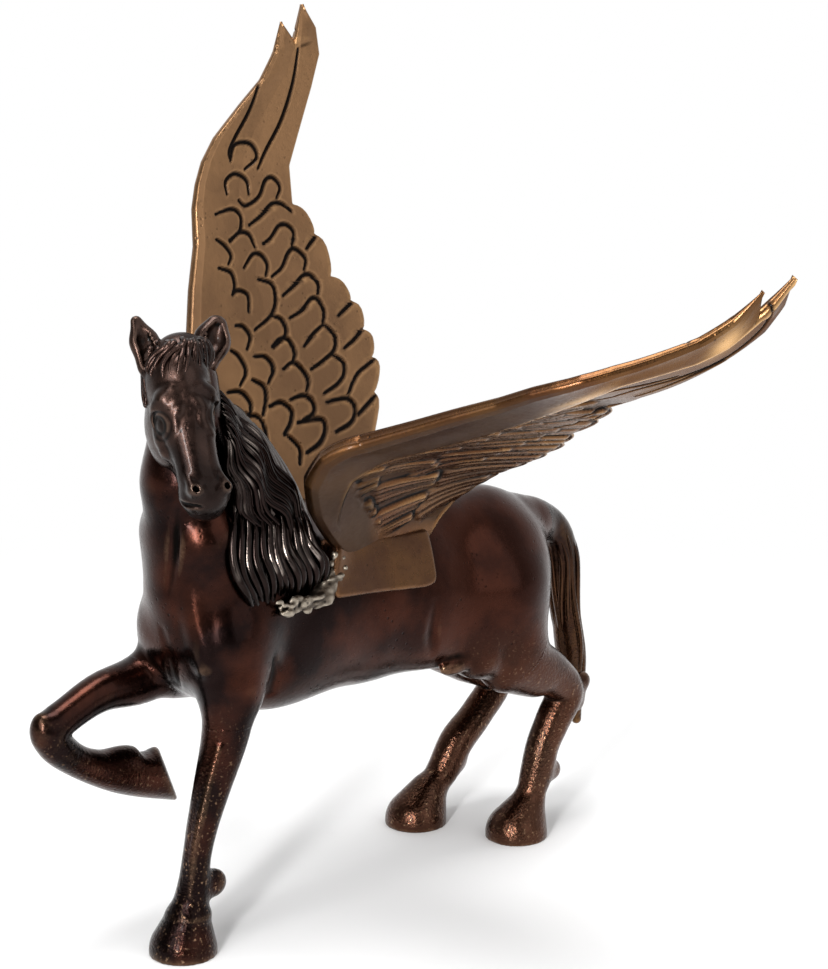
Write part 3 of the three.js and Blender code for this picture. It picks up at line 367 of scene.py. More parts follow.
def metal(name, patina, blotch, crevice, bright, rough=0.3, wear=1.0, coat=0.5, grain=0.25,
          pits=0.3, blotch_mm=16, fade=None):
    """Patinated brass. blotch is a second patina colour in soft clouds. fade adds more of it along one axis:
    the axis, where it starts and ends in mm, and how much."""
    material = bpy.data.materials.new(name)
    material.use_nodes = True
    tree = material.node_tree
    tree.nodes.clear()
    place = add(tree, "ShaderNodeTexCoord").outputs["Object"]
    clouds = add(tree, "ShaderNodeTexNoise", {"Vector": place, "Scale": 1000 / blotch_mm, "Detail": 5})
    cloud = add(tree, "ShaderNodeMapRange", {"Value": clouds.outputs["Fac"], "From Min": 0.42,
                                             "From Max": 0.66})
    fine = add(tree, "ShaderNodeTexNoise", {"Vector": place, "Scale": 1000 / 1.6, "Detail": 6,
                                            "Roughness": 0.6})
    cells = add(tree, "ShaderNodeTexVoronoi", {"Vector": place, "Scale": 1000 / 2.2})
    pit = add(tree, "ShaderNodeMapRange", {"Value": cells.outputs["Distance"], "From Min": 0.0,
                                           "From Max": 0.25, "To Min": 1, "To Max": 0})
    pitted = add(tree, "ShaderNodeTexNoise", {"Vector": place, "Scale": 1000 / 9})
    rare = add(tree, "ShaderNodeMapRange", {"Value": pitted.outputs["Fac"], "From Min": 0.5,
                                            "From Max": 0.7})
    pit = add(tree, "ShaderNodeMath", {0: pit.outputs["Result"], 1: rare.outputs["Result"]},
              operation="MULTIPLY")
    hollow = add(tree, "ShaderNodeAttribute", attribute_name="hollow").outputs["Fac"]
    split = add(tree, "ShaderNodeSeparateXYZ", {0: place})
    height = split.outputs["Z"]
    axis, start, end, amount = fade or ("Z", 0, 100, 0)
    faded = add(tree, "ShaderNodeMapRange", {"Value": split.outputs[axis], "From Min": start / 1000,
                                             "From Max": end / 1000, "To Max": amount})
    blotched = add(tree, "ShaderNodeMath", {0: cloud.outputs["Result"], 1: faded.outputs["Result"]},
                   operation="ADD", use_clamp=True)
    cast = add(tree, "ShaderNodeMapRange", {"Value": height, "From Min": 0.075, "From Max": 0.03})
    # An attribute of the mesh: metal worn bright on ridges, and highlights painted into the colour
    wear_and_highlight_in = add(tree, "ShaderNodeAttribute", attribute_name="wear_and_highlight").outputs["Fac"]
    # Near the ground the casting's grain is a bump, and bright specks on it are painted glints; towards the rear
    # everything near the ground is also a little brighter
    skin_grain = add(tree, "ShaderNodeTexNoise", {"Vector": place, "Scale": 1000 / 0.9, "Detail": 3})
    painted_glints = add(tree, "ShaderNodeMapRange", {"Value": skin_grain.outputs["Fac"], "From Min": 0.6,
                                             "From Max": 0.76})
    painted_glints = add(tree, "ShaderNodeMath", {0: faded.outputs["Result"], 1: 0.2, 2: painted_glints.outputs["Result"]},
                operation="MULTIPLY_ADD")
    painted_glints = add(tree, "ShaderNodeMath", {0: painted_glints.outputs[0], 1: cast.outputs["Result"]},
                operation="MULTIPLY", use_clamp=True)
    # An attribute of the mesh: dark patina in chased lines and creases, and shade painted into the colour
    patina_and_shade = add(tree, "ShaderNodeAttribute", attribute_name="patina_and_shade").outputs["Fac"]
    # The golden colour goes on worn ridges, on the painted glints and on the painted highlights
    worn_and_highlit = add(tree, "ShaderNodeMapRange", {"Value": hollow, "From Min": -0.12 / wear,
                                            "From Max": -0.9 / wear})
    deep = add(tree, "ShaderNodeMapRange", {"Value": hollow, "From Min": 0.08, "From Max": 0.6})
    uneven = add(tree, "ShaderNodeMapRange", {"Value": fine.outputs["Fac"], "From Min": 0.35,
                                              "From Max": 0.65, "To Min": 0.35, "To Max": 1})
    worn_and_highlit = add(tree, "ShaderNodeMath", {0: worn_and_highlit.outputs["Result"], 1: uneven.outputs["Result"]},
               operation="MULTIPLY")
    worn_and_highlit = add(tree, "ShaderNodeMath", {0: worn_and_highlit.outputs[0], 1: painted_glints.outputs[0]}, operation="MAXIMUM")
    worn_and_highlit = add(tree, "ShaderNodeMath", {0: worn_and_highlit.outputs[0], 1: wear_and_highlight_in}, operation="MAXIMUM")
    dark = add(tree, "ShaderNodeMath", {0: deep.outputs["Result"], 1: patina_and_shade}, operation="MAXIMUM")
    dark = add(tree, "ShaderNodeMath", {0: dark.outputs[0], 1: pit.outputs[0]}, operation="MAXIMUM")

    def mixed(factor, low, high):
        return add(tree, "ShaderNodeMix", {0: factor, 6: low, 7: high}, data_type="RGBA").outputs[2]

    tint = mixed(blotched.outputs[0], colour(patina), colour(blotch))
    tint = mixed(worn_and_highlit.outputs[0], tint, colour(bright))
    tint = mixed(dark.outputs[0], tint, colour(crevice))
    gloss = add(tree, "ShaderNodeMapRange", {"Value": fine.outputs["Fac"], "From Min": 0.3,
                                             "From Max": 0.7, "To Min": rough * 0.75,
                                             "To Max": rough * 1.3})
    gloss = add(tree, "ShaderNodeMath", {0: dark.outputs[0], 1: 0.3, 2: gloss.outputs["Result"]},
                operation="MULTIPLY_ADD")
    rough_skin = add(tree, "ShaderNodeMath", {0: cast.outputs["Result"], 1: skin_grain.outputs["Fac"]},
                     operation="MULTIPLY")
    height = add(tree, "ShaderNodeMath", {0: rough_skin.outputs[0], 1: 7.0, 2: fine.outputs["Fac"]},
                 operation="MULTIPLY_ADD")
    bump = add(tree, "ShaderNodeBump", {"Strength": grain, "Distance": 0.0004, "Height": height.outputs[0]})
    bump = add(tree, "ShaderNodeBump", {"Strength": pits, "Distance": 0.0005, "Height": pit.outputs[0],
                                        "Normal": bump.outputs[0]}, invert=True)
    shader = add(tree, "ShaderNodeBsdfPrincipled", {
        "Base Color": tint, "Metallic": 1.0, "Roughness": gloss.outputs[0], "Coat Weight": coat,
        "Coat Roughness": 0.12, "Normal": bump.outputs[0]})
    out = add(tree, "ShaderNodeOutputMaterial", {"Surface": shader.outputs[0]})
    return material


# %% The metals
# Body and legs: nearly black brown with chestnut clouds where the patina is thinner, waxed to a shine.
# The legs keep the rough skin of the casting, and glints on that skin are painted as bright specks
BODY = metal("dark_brown_patina_waxed", "#1b1110", "#40231a", "#080504", "#9a7a60", rough=0.23, wear=0.55,
             coat=0.04, grain=0.15, blotch_mm=20, fade=("Y", -25, 45, 0.5))
# Head and mane: almost black, so that only their highlights show the modelling. Some of those highlights
# are painted: along the upper eyelids and on the crests of the mane's strands; the eyeballs carry painted shade
HEAD_METAL = metal("black_patina_waxed", "#43322c", "#231916", "#060403", "#80685a", rough=0.3, coat=0.12,
                   wear=0.45, fade=("Z", 149, 138, 0.9))
MANE_METAL = metal("black_patina_mane", "#241b19", "#1b1311", "#020101", "#b3a59c", rough=0.16, coat=0.05,
                   wear=0.4)
TAIL_METAL = metal("brown_patina_tail", "#20120e", "#3c2418", "#080403", "#7a5836", rough=0.22, coat=0.1)
# Wings: antique gold, rubbed back to the brass, with dark patina in the chased lines and round the feathers,
# and painted shade on the outer face's smooth band and by its root. The left one is browner, with its bright
# metal on the ridge, worn there and with a painted highlight along it, two painted highlights on the spar,
# and bright metal on the edges of the feathers
RIGHT_WING = metal("antique_gold_wing", "#785a41", "#94704f", "#120b08", "#a9825a", rough=0.36, coat=0.08,
                   grain=0.2, pits=0.5, blotch_mm=30, fade=("Z", 150, 250, 0.8))
LEFT_WING = metal("brown_gold_wing", "#684729", "#5a3820", "#0e0806", "#e0b27a", rough=0.27, coat=0.12,
                  wear=0.4, grain=0.2, pits=0.3)
PAD_METAL = metal("gold_brown_pad", "#6a4a30", "#54392a", "#120b08", "#8a6340", rough=0.3, coat=0.15,
                  grain=0.3, pits=0.3)
# Solder: silvery grey, rough and bright
SOLDER = metal("bright_solder", "#6f655a", "#43392f", "#15100c", "#b5aa9a", rough=0.34, coat=0.1,
               grain=1.0, pits=0.8, blotch_mm=3)
print(len(bpy.data.materials), "materials")

# %% [markdown]
# ## The trunk and the neck
#
# The belly, chest and rump are big balls, the shoulders and thighs are limbs that lean the way the
# muscles do. Only the left side is written out, because the right side is its mirror image.

# %% Trunk and neck lumps
def on_trunk(x, y, z):
    return [x * WIDTH, y * LENGTH, BELLY + z * DEPTH]


def girth(x, y, z):
    return [x * WIDTH, y * LENGTH, z * DEPTH]


def on_neck(x, y, z):
    return [x, SHOULDER + y, WITHERS + z * NECK]


flank = [
    limb(on_trunk(0.21, -0.2, 1), 8, on_trunk(0.263, -0.43, 0.56), 10.8, 8),
    limb(on_neck(7, -0.5, 0.12), 10.5, on_trunk(0.24, -0.41, 0.5), 10, 8),
    limb(on_trunk(0.263, -0.436, 0.56), 10, on_trunk(0.342, -0.436, 0.28), 8.4, 6),
    ball(on_trunk(0.25, 0.545, 0.46), girth(0.303, 0.182, 0.4), 8),
    limb(on_trunk(0.29, 0.509, 0.4), 12, on_trunk(0.368, 0.436, 0.08), 8.5, 8),
    limb(on_trunk(0.29, 0.564, 0.44), 12, on_trunk(0.342, 0.6, 0.12), 9, 8),
    ball(on_trunk(0.263, 0.327, 0.36), girth(0.25, 0.182, 0.32), 8),
]
torso = [
    ball(on_trunk(0, 0.127, 0.49), girth(0.5, 0.418, 0.496), 6),
    ball(on_trunk(0, -0.2, 0.52), girth(0.513, 0.273, 0.52), 8),
    ball(on_trunk(0, -0.382, 0.56), girth(0.421, 0.182, 0.42), 6),
    limb(on_trunk(0, -0.127, 1.04), 9, on_trunk(0, 0.255, 0.84), 8, 10),
    limb(on_trunk(0, 0.255, 0.8), 10, on_trunk(0, 0.545, 0.735), 13, 10),
    ball(on_trunk(0, 0.564, 0.58), girth(0.395, 0.2, 0.37), 8),
    limb(on_trunk(0, 0.4, 0.8), 9, on_trunk(0, 0.745, 0.7), 7, 8),
    *flank,
    *mirrored(flank),
    ball([16.8, 36, 62.8], [2.4, 6, 2.6], 2),
]
folds = [
    tube([([8.8, -63.0, 129.6], 0.5), ([7.4, -62.8, 122.9], 1.2), ([6.7, -63.1, 115.6], 1.3),
          ([5.8, -63.6, 109.7], 1.1), ([4.7, -63.8, 104.5], 0.5)], 1.6, 14, cut=True),
    tube([([21.2, 25.2, 86], 0.4), ([21.2, 23.9, 80.5], 1.2), ([20.4, 23.8, 74.4], 1.5),
          ([19.2, 25.8, 68.5], 0.8)], 2.2, 10, cut=True),
    tube([([19.6, -38.2, 83], 0.4), ([17.6, -35.4, 76.5], 1.4), ([14.2, -34.2, 69.6], 1.2)], 2, 10, cut=True),
    tube([([0.2, -63.8, 92], 0.5), ([2.4, -63.2, 84], 1.3), ([-0.9, -58.2, 74], 1.5)], 2.4, 10, cut=True),
    tube([([8.4, -57.6, 107], 2.0), ([9.7, -57.6, 100.3], 3.2), ([11.2, -57.8, 94], 3.2),
          ([14, -57.5, 84], 2.6)], 3, 10),
]
neck = [
    limb(on_neck(0, 2, -0.1), 15.4, on_neck(0, -2, 0.375), 12.6, 6, [(1, 0, 0), 0.88]),
    limb(on_neck(0, -2, 0.375), 12.6, on_neck(0, -2, 0.81), 9.4, 5, [(1, 0, 0), 0.95]),
    limb(on_neck(0, 28, -0.03), 12, on_neck(0, 12, 0.56), 8, 8, [(1, 0, 0), 0.7]),
]

# %% [markdown]
# ## The legs
#
# Three hooves stand on the ground and the right foreleg is raised and folded. Each leg is a chain of
# limbs from the elbow or the stifle to the hoof, with a ball at the knee or hock and at the fetlock.
# The hoof is a cone that widens downwards, and the ground cuts it flat.

# %% Leg lumps
def on_leg(side, top):
    return lambda x, y, z: [side * (STANCE / 2 + x), top + y, z * BELLY]


standing, raised = on_leg(1, SHOULDER), on_leg(-1, SHOULDER)
rear_left, rear_right = on_leg(1, HIP), on_leg(-1, HIP)
left_fore = [
    tube([(standing(0, 1, 1.267), 8.4), (standing(0, -1.4, 1.033), 6.8), (standing(0, -6.4, 0.8), 5.4),
          (standing(0, -10.2, 0.62), 4.5), (standing(0, -12.6, 0.467), 4.1), (standing(0, -14.0, 0.33), 4.5),
          (standing(-0.2, -15.6, 0.2), 5.4)], 4, 26),
    tube([(standing(3.6, -6.6, 1.0), 1.2), (standing(2.8, -10.2, 0.8), 1.5), (standing(2.4, -13.4, 0.62), 1.5),
          (standing(2.2, -15.5, 0.467), 1.1), (standing(2.4, -17, 0.3), 1.1)], 1.2, 20),
    ball(standing(0.4, -7.6, 0.31), [3.2, 4.6, 4.2], 3),
    ball(standing(0.2, -16.2, 0.19), [6.4, 6.2, 2.2], 2),
    limb(standing(-0.3, -16, 0.165), 6.3, standing(-0.3, -18, 0.017), 9.8, 1.5),
]
right_fore = [
    tube([(raised(-1, 4, 1.3), 9), (raised(0, -10, 1.225), 7.2), (raised(0, -24, 1.215), 5.7),
          (raised(0, -35, 1.155), 5.1), (raised(0, -41.5, 1.095), 5.4), (raised(0, -40, 1.01), 5.2),
          (raised(0, -32, 0.895), 4.7), (raised(0, -21, 0.805), 5.8), (raised(0, -11, 0.745), 6.6),
          (raised(0, 3, 0.68), 7.4)], 3, 40),
    ball([-14, -67.5, 51.2], [3.6, 6.5, 3.4], 3),
    ball([-14, -53.6, 47.2], [4.6, 3.8, 3.8], 2),
    tube([([-19, -58.8, 51.8], 1.2), ([-14, -59.8, 53.0], 2.0), ([-9, -59.8, 52.2], 1.2)], 1.2, 8, cut=True),
    ball([-14, -95.0, 66.6], [3.2, 2.6, 4.6], 2.5),
]
left_hind = [
    ball(rear_left(0.5, -2, 1.0), [8.5, 8.5, 9], 4),
    limb(rear_left(1, -1.5, 0.91), 5.6, rear_left(1, 10.5, 0.835), 5.2, 4),
    tube([(rear_left(-1, -2, 1.267), 11), (rear_left(1, 4, 1), 9.6), (rear_left(1, 18, 0.84), 7.2),
          (rear_left(1, 25.4, 0.71), 6.0), (rear_left(1, 20.4, 0.57), 5.5), (rear_left(1, 16.0, 0.45), 5.2),
          (rear_left(1, 13.6, 0.32), 5.2), (rear_left(1, 10.6, 0.19), 4.3)], 4, 34),
    ball(rear_left(1, 33.2, 0.735), [2.2, 3.0, 3.0], 1.5),
    ball(rear_left(1, 31.0, 0.66), [2.6, 2.6, 5.0], 2.5),
    ball(rear_left(1, 18.8, 0.3), [3.2, 4.2, 3.6], 2.5),
    limb(rear_left(1, 9.4, 0.15), 5.4, rear_left(1.4, 4.2, 0.017), 9.7, 2),
]
right_hind = [
    tube([(rear_right(-1, -2, 1.267), 11), (rear_right(0.5, -6, 1.033), 8.8), (rear_right(0, 8, 0.833), 6.6),
          (rear_right(0, 23.5, 0.67), 5.3), (rear_right(0, 15.2, 0.5), 5.2), (rear_right(0, 6.6, 0.385), 5.5),
          (rear_right(0, 0.9, 0.255), 5.2), (rear_right(0, -4.0, 0.175), 4.5)], 4, 34),
    ball(rear_right(0, 6.0, 0.27), [3.0, 3.8, 3.6], 2.5),
    limb(rear_right(0, -6.4, 0.15), 6.0, rear_right(0.2, -11.2, 0.017), 9.7, 2),
]
on_tail = lambda x, y, drop: [x, RUMP + y, DOCK - drop * TAIL]
tail_lumps = [
    tube([(on_tail(0, 0, -0.01), 6.4), (on_tail(0, 12, 0.02), 5.4), (on_tail(0, 20, 0.15), 4.9),
          (on_tail(0, 22.6, 0.43), 4.5), (on_tail(1, 24, 0.676), 4.4), (on_tail(1.5, 27, 1), 1.6)], 5, 26),
]

# %% [markdown]
# ## Seams between castings
#
# The legs, the tail and the head were cast apart and brazed on. Where one casting ends, the next one
# begins, so both share a plane. The skin of a limb stops a hair behind that plane, inside its neighbour.

# %% Seams
CASTINGS = {
    "left_foreleg": (left_fore, standing(0, -12, 1.092), (0, 0, -1)),
    "right_foreleg": (right_fore, raised(0, -5, 1.225), (0, -0.72, -0.69)),
    "left_hindleg": (left_hind, rear_left(0.5, 4, 1), (0, 0.62, -0.78)),
    "right_hindleg": (right_hind, rear_right(0.5, 1.5, 0.9), (0, 0.76, -0.65)),
    "tail": (tail_lumps, [0, RUMP + 9, DOCK], (0, 1, 0)),
}
animal = [*torso, *neck, *left_fore, *right_fore, *left_hind, *right_hind, *tail_lumps, *folds]


def outside(p, name, skirt):
    """Negative in the space of a casting: ahead of its seam and near its own lumps."""
    own, at, toward = CASTINGS[name]
    ahead = (p - np.array(at, float)) @ (np.array(toward, float) / np.linalg.norm(toward))
    near = clay(own, p.reshape(-1, 3)).reshape(ahead.shape)
    return np.maximum(-ahead, near - skirt)


def raised_sole(d, p):
    out = np.array([0.5, 0.81, 0.31])
    cut = join(d, -((p - np.array(raised(0, 0.3, 0.68))) @ out), 1.6, True)
    return np.where(p[..., 2] < 0.95 * BELLY, cut, d)


def casting(name, material, cell):
    own = CASTINGS[name][0]

    def field(d, p):
        d = np.maximum(np.maximum(d, outside(p, name, 2.3) - 0.5), -p[..., 2])
        return raised_sole(d, p) if name == "right_foreleg" else d

    lo = np.min([m["lo"] for m in own], 0) - 3
    hi = np.max([m["hi"] for m in own], 0) + 3
    points, faces = skin(animal, cell, lo, hi, field)
    calm = np.abs(outside(points, name, 2.3) - 0.5) > 1.6
    piece = to_object(name + "_skin", points, faces, material, calm=calm)
    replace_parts(piece, name)


for name in CASTINGS:
    casting(name, TAIL_METAL if name == "tail" else BODY, 0.7)

# %% The body
def trunk_only(d, p):
    """The whole animal's clay, without the space of the other castings."""
    for name in CASTINGS:
        d = np.maximum(d, -outside(p, name, 2.0) - 1.2)
    return np.maximum(d, -p[..., 2])


points, faces = skin(animal, 0.8, field=trunk_only)
away = np.min([np.abs(outside(points, name, 2.0) + 1.2) for name in CASTINGS], 0)
body = to_object("body", points, faces, BODY, calm=away > 1.5)
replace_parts(body, "body_left_half", "body_right_half")

# %% [markdown]
# ## The head
#
# The head is turned well to its left and tucked down. Its lumps are placed in its own directions: how
# far down the face, how far to the left of the middle, and how far out of the forehead.

# %% Head directions
turn, drop = np.radians(70), np.radians(61)
facing = np.array([np.sin(turn), -np.cos(turn), 0])
head_side = np.array([np.cos(turn), np.sin(turn), 0])
head_down = facing * np.cos(drop) - np.array([0, 0, np.sin(drop)])
head_out = facing * np.sin(drop) + np.array([0, 0, np.cos(drop)])
head_axes = [head_down, head_side, head_out]
POLL = np.array(on_neck(0.2, -6.6, 0.978))


def face(l, s, f):
    bow = (4.9 if l > 0.42 else 3.9) * min(1.05, ((l - 0.42) / 0.40) ** 2) - 1.6
    return POLL + head_down * l * HEAD + head_side * (s + bow) + head_out * f


def face_limb(a, ra, b, rb, blend=4, squash=None, cut=False):
    return limb(face(*a), ra, face(*b), rb, blend, squash, cut)


def face_ball(c, r, blend=4, cut=False):
    return ball(face(*c), [r[0] * HEAD, *r[1:]], blend, head_axes, cut)


# %% The skull
skull = [
    face_ball([0.19, 0, -1], [0.235, 8.9, 9.3], 4),
    face_limb([0.167, 0, 3.0], 6.4, [0.66, 0, 1.6], 4.6, 5),
    face_ball([0.765, 0, -1.2], [0.12, 7.2, 6.6], 4),
    face_limb([0.37, 0, -9.5], 5, [0.78, 0, -6], 3.4, 4),
    face_ball([0.82, 0, -5.2], [0.07, 4.8, 4], 2.5),
    face_ball([0.04, 0, 2.2], [0.11, 7.3, 4.5], 3),
    face_ball([0.39, 3.0, -6.4], [0.195, 4.0, 8.8], 3),
    face_ball([0.39, -3.4, -6], [0.195, 4.2, 9.0], 3),
]


def on_skull(l, angle, lift=0.0):
    """Down the face as a share, round it in degrees from the middle line, and above its skin in mm."""
    c, s = np.cos(np.radians(angle)), np.sin(np.radians(angle))
    r = np.arange(2, 20, 0.1)
    inside = clay(skull, np.array([face(l, x * s, x * c - 3) for x in r])) < 0
    reach = r[inside].max() + lift
    return [l, reach * s, reach * c - 3]


def ridge(spots, thick, blend=1.0, steps=8, is_cut=False):
    """A raised line, or a cut one, through spots on the skull. thick gives its radius along the way."""
    line = [on_skull(*spot) for spot in smooth_line(spots, steps)]
    r = np.interp(np.linspace(0, 1, steps), np.linspace(0, 1, len(thick)), thick)
    return [face_limb(a, ra, b, rb, blend, cut=is_cut)
            for a, ra, b, rb in zip(line[:-1], r[:-1], line[1:], r[1:])]


print("skin above the left eye is at", np.round(on_skull(0.4, 58), 1))

# %% [markdown]
# ## Eyes, nostrils and ears
#
# Each eye is a shallow socket with a ball in it and folded lids round it, under a heavy brow. A nostril
# is a punched ring. An ear is a leaf with a cupped hollow. All of them are placed by how far down and
# how far round the skull they sit, so that they follow its skin.

# %% Features of the face
EYE_DOWN, EYE_ROUND = 0.405, 45
EARS = {1: ([-0.03, 9.9], 4.9, [-0.105, 11.8], 3.1), -1: ([-0.055, 9.6], 3.9, [-0.165, 11.0], 1.7)}


def arc_round_eye(side, across, up, lift, thick, start, end, steps=16, blend=0.3):
    """Part of an oval round an eye. 0 degrees is towards the mouth, 90 towards the forehead."""
    turn = np.radians(np.linspace(start, end, 7))
    spots = [(EYE_DOWN + across * np.cos(a) / HEAD, side * (EYE_ROUND - np.degrees(up * np.sin(a) / 9.5)), lift)
             for a in turn]
    return ridge(spots, thick, blend, steps)


def eye(side):
    return [
        *ridge([(0.25, side * 20, -0.8), (0.30, side * 38, 0.0), (0.345, side * 56, -0.2), (0.43, side * 76, -0.6)],
               [1.5, 2.1, 1.7, 1.0], 1.6, 5),
        face_ball(on_skull(EYE_DOWN, side * EYE_ROUND, 1.6), [4.4 / HEAD, 4.0, 4.0], 0.8, cut=True),
        face_ball(on_skull(EYE_DOWN, side * EYE_ROUND, -2.0), [2.8 / HEAD, 2.7, 2.7], 0.2),
        *arc_round_eye(side, 3.3, 2.9, 0.2, [0.5, 1.0, 0.5], -5, 185),
        *arc_round_eye(side, 3.4, 2.9, -0.2, [0.45, 0.75, 0.45], 175, 365),
        *arc_round_eye(side, 5.0, 4.5, 0.3, [0.3, 0.8, 0.3], 5, 170),
        *arc_round_eye(side, 4.9, 4.4, 0.0, [0.25, 0.6, 0.25], 190, 350),
    ]


def muzzle(side):
    return [
        face_limb(on_skull(0.31, side * 21 - 4, -3.2), 3.2, on_skull(0.66, side * 22, -2.3), 2.3, 5),
        *ridge([(0.47, side * 72, -0.5), (0.56, side * 70, -0.4), (0.66, side * 62, -0.6)], [1.6, 1.2, 0.7], 2, 4),
        *ridge([(0.64, side * 27, 0), (0.69, side * 29, 0.2), (0.73, side * 30, 0.4)], [0.3, 0.7, 0.9], 1),
        face_ball(on_skull(0.768, side * 29, 0.0), [0.036, 2.3, 2.0], 2),
        face_ball(on_skull(0.768, side * 29, 0.9), [0.019, 0.95, 2.0], 0.4, cut=True),
        *ridge([(0.768 + 0.026 * np.cos(a), side * (29 + 9 * np.sin(a)), 0.8)
                for a in np.linspace(0, 2 * np.pi, 7)], [0.5], 0.3, 12),
        *ridge([(0.79, side * 84, 0.1), (0.825, side * 66, 0), (0.85, side * 40, 0)], [0.3, 0.6, 0.4], 0.6,
               is_cut=True),
    ]


def ear(side):
    mid, mid_r, tip, tip_r = EARS[side]
    f = -1.5
    hollow = [[0.06, side * 8.4, f + 2.9], [mid[0], side * (mid[1] + 0.2), f + 2.9],
              [tip[0] + 0.01, side * tip[1], f + 2.6]]
    rim = [face_ball([0.05 - 0.022 * i, side * (6.2 + 0.32 * i), f + 2.4 - 0.12 * i], [0.55 / HEAD, 0.55, 0.55], 0.3)
           for i in range(7)]
    return [
        face_limb([0.07, side * 7.6, f], 4.2, [mid[0], side * mid[1], f], mid_r, 1.5, [head_out, 0.55]),
        face_limb([mid[0], side * mid[1], f], mid_r, [tip[0], side * tip[1], f + 0.5], tip_r, 1.5, [head_out, 0.6]),
        face_limb(hollow[0], 2.6, hollow[1], mid_r * 0.66, 1.0, cut=True),
        face_limb(hollow[1], mid_r * 0.66, hollow[2], tip_r * 0.5, 0.8, cut=True),
        *rim,
    ]


wrinkles = [
    *ridge([(0.30, -14, 0), (0.345, -22, 0.3), (0.36, -34, 0.2)], [0.4, 0.9, 0.4], 0.8),
    *ridge([(0.335, -8, 0), (0.375, -17, 0.3), (0.405, -30, 0)], [0.3, 0.8, 0.3], 0.8),
    *ridge([(0.31, 8, 0), (0.35, 18, 0.3), (0.385, 30, 0)], [0.3, 0.8, 0.3], 0.8),
]
head_lumps = [*skull, *wrinkles]
for side in (1, -1):
    head_lumps += [*eye(side), *muzzle(side), *ear(side)]

# %% The skin of the head
lo = np.min([m["lo"] for m in head_lumps], 0) - 1.5
hi = np.max([m["hi"] for m in head_lumps], 0) + 1.5
points, faces = skin(head_lumps, 0.4, lo, hi)
# Round each eye: dark patina in the lid creases, painted shade over the eyeball, and a painted highlight on the upper
# lid
dark, wear_and_highlight = np.zeros(len(points)), np.zeros(len(points))
for side in (1, -1):
    away = np.linalg.norm(points - face(*on_skull(EYE_DOWN, side * EYE_ROUND, 0)), axis=1)
    for ring, width, depth in ((0, 2.2, 0.95), (2.7, 0.6, 1.0), (4.4, 0.45, 0.8)):
        dark = np.maximum(dark, depth * np.exp(-((away - ring) / width) ** 2))
    wear_and_highlight = np.maximum(wear_and_highlight, 0.5 * np.exp(-((away - 3.5) / 0.3) ** 2) * (points[:, 2] > points[away.argmin(), 2] - 1.5))
head = to_object("head_skin", points, faces, HEAD_METAL, scale=0.12, extra={"patina_and_shade": dark, "wear_and_highlight": wear_and_highlight})
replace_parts(head, "head")
print(len(head_lumps), "lumps in the head")

# %% [markdown]
# ## The wings
#
# Each wing is one thick plate. Its blade is measured by two numbers: s runs along the span from the
# root, t across the chord from the spar. A third number lifts a point off the plate. With them the
# outline, the chased lines and the feathers can be drawn flat and then bent into place.

# %% Outline of a wing as shares of its span and chord
LEADING = np.array([
    [0, -0.13], [0.052, -0.224], [0.105, -0.308], [0.157, -0.346], [0.209, -0.314], [0.275, -0.218],
    [0.379, -0.167], [0.458, -0.135], [0.542, -0.09], [0.614, -0.077], [0.66, -0.051], [0.703, -0.013],
    [0.748, 0.051], [0.81, 0.18], [0.856, 0.282], [0.908, 0.354], [0.967, 0.397]])
NOTCHES = [[0.137, 0.57], [0.229, 0.635], [0.297, 0.647], [0.353, 0.622], [0.412, 0.583],
           [0.464, 0.506], [0.549, 0.455], [0.611, 0.372]]
TIP = [[0.686, 0.377], [0.758, 0.442], [0.837, 0.513], [0.902, 0.564], [0.954, 0.558], [1, 0.506]]
trailing = [[0, 0.346], [0.052, 0.449], [0.098, 0.526]]
for (s0, t0), (s1, t1) in zip(NOTCHES[:-1], NOTCHES[1:]):
    for x, out in ((0, 0), (0.12, 0.4), (0.3, 0.74), (0.5, 0.96), (0.7, 1.06), (0.86, 0.9), (0.96, 0.45)):
        trailing.append([s0 + (s1 - s0) * x, t0 + (t1 - t0) * x + 0.033 * out])
TRAILING = np.array([*trailing, NOTCHES[-1], *TIP])

# %% Two bent plates
WINGS = {
    "left_wing": dict(side=1, lean=64, sweep=16.25, toe=-3.1, foot=(7.8, -0.177 * LENGTH, WITHERS + 17.5),
                      bend=-0.00018, curl=21.6),
    "right_wing": dict(side=-1, lean=17.8, sweep=2.9, toe=-7.9, foot=(-18, -0.127 * LENGTH, WITHERS),
                       bend=0.000615, curl=0),
}


def turned(axis, degrees):
    c, s = np.cos(np.radians(degrees)), np.sin(np.radians(degrees))
    i, j = [k for k in range(3) if k != axis]
    m = np.eye(3)
    m[i, i], m[j, j], m[i, j], m[j, i] = c, c, -s, s
    return m.T if axis == 1 else m


def plate(w, s, t):
    """Points of the bent middle surface of a wing, s and t in millimetres."""
    side, root = w["side"], 42.0
    m = turned(2, -side * w["toe"]) @ turned(0, -w["sweep"]) @ turned(1, side * w["lean"])
    lift = w["bend"] * np.maximum(0, s - 60) ** 2
    lift = lift + w["curl"] * np.maximum(0, (s - 0.654 * SPAN) / (0.346 * SPAN)) ** 2

    def blade(s, t, lift):
        return np.array(w["foot"]) + s[..., None] * m[:, 2] + t[..., None] * m[:, 1] \
            - lift[..., None] * side * m[:, 0]

    u = np.clip(s / root, 0, 1)[..., None]
    start = np.stack([np.full(t.shape, side * 0.329 * WIDTH), PAD_Y - 3.64 + t * 0.83,
                      PAD_Z + 3.03 - t * 0.06], -1)
    curve = start * (2 * u ** 3 - 3 * u * u + 1) + m[:, 2] * root * (u ** 3 - u * u)
    curve = curve + np.array([side * 0.31, -0.63, 1]) * root * (u ** 3 - 2 * u * u + u)
    curve = curve + blade(np.full(t.shape, root), t, t * 0) * (3 * u * u - 2 * u ** 3)
    return np.where((s >= root)[..., None], blade(s, t, lift), curve)


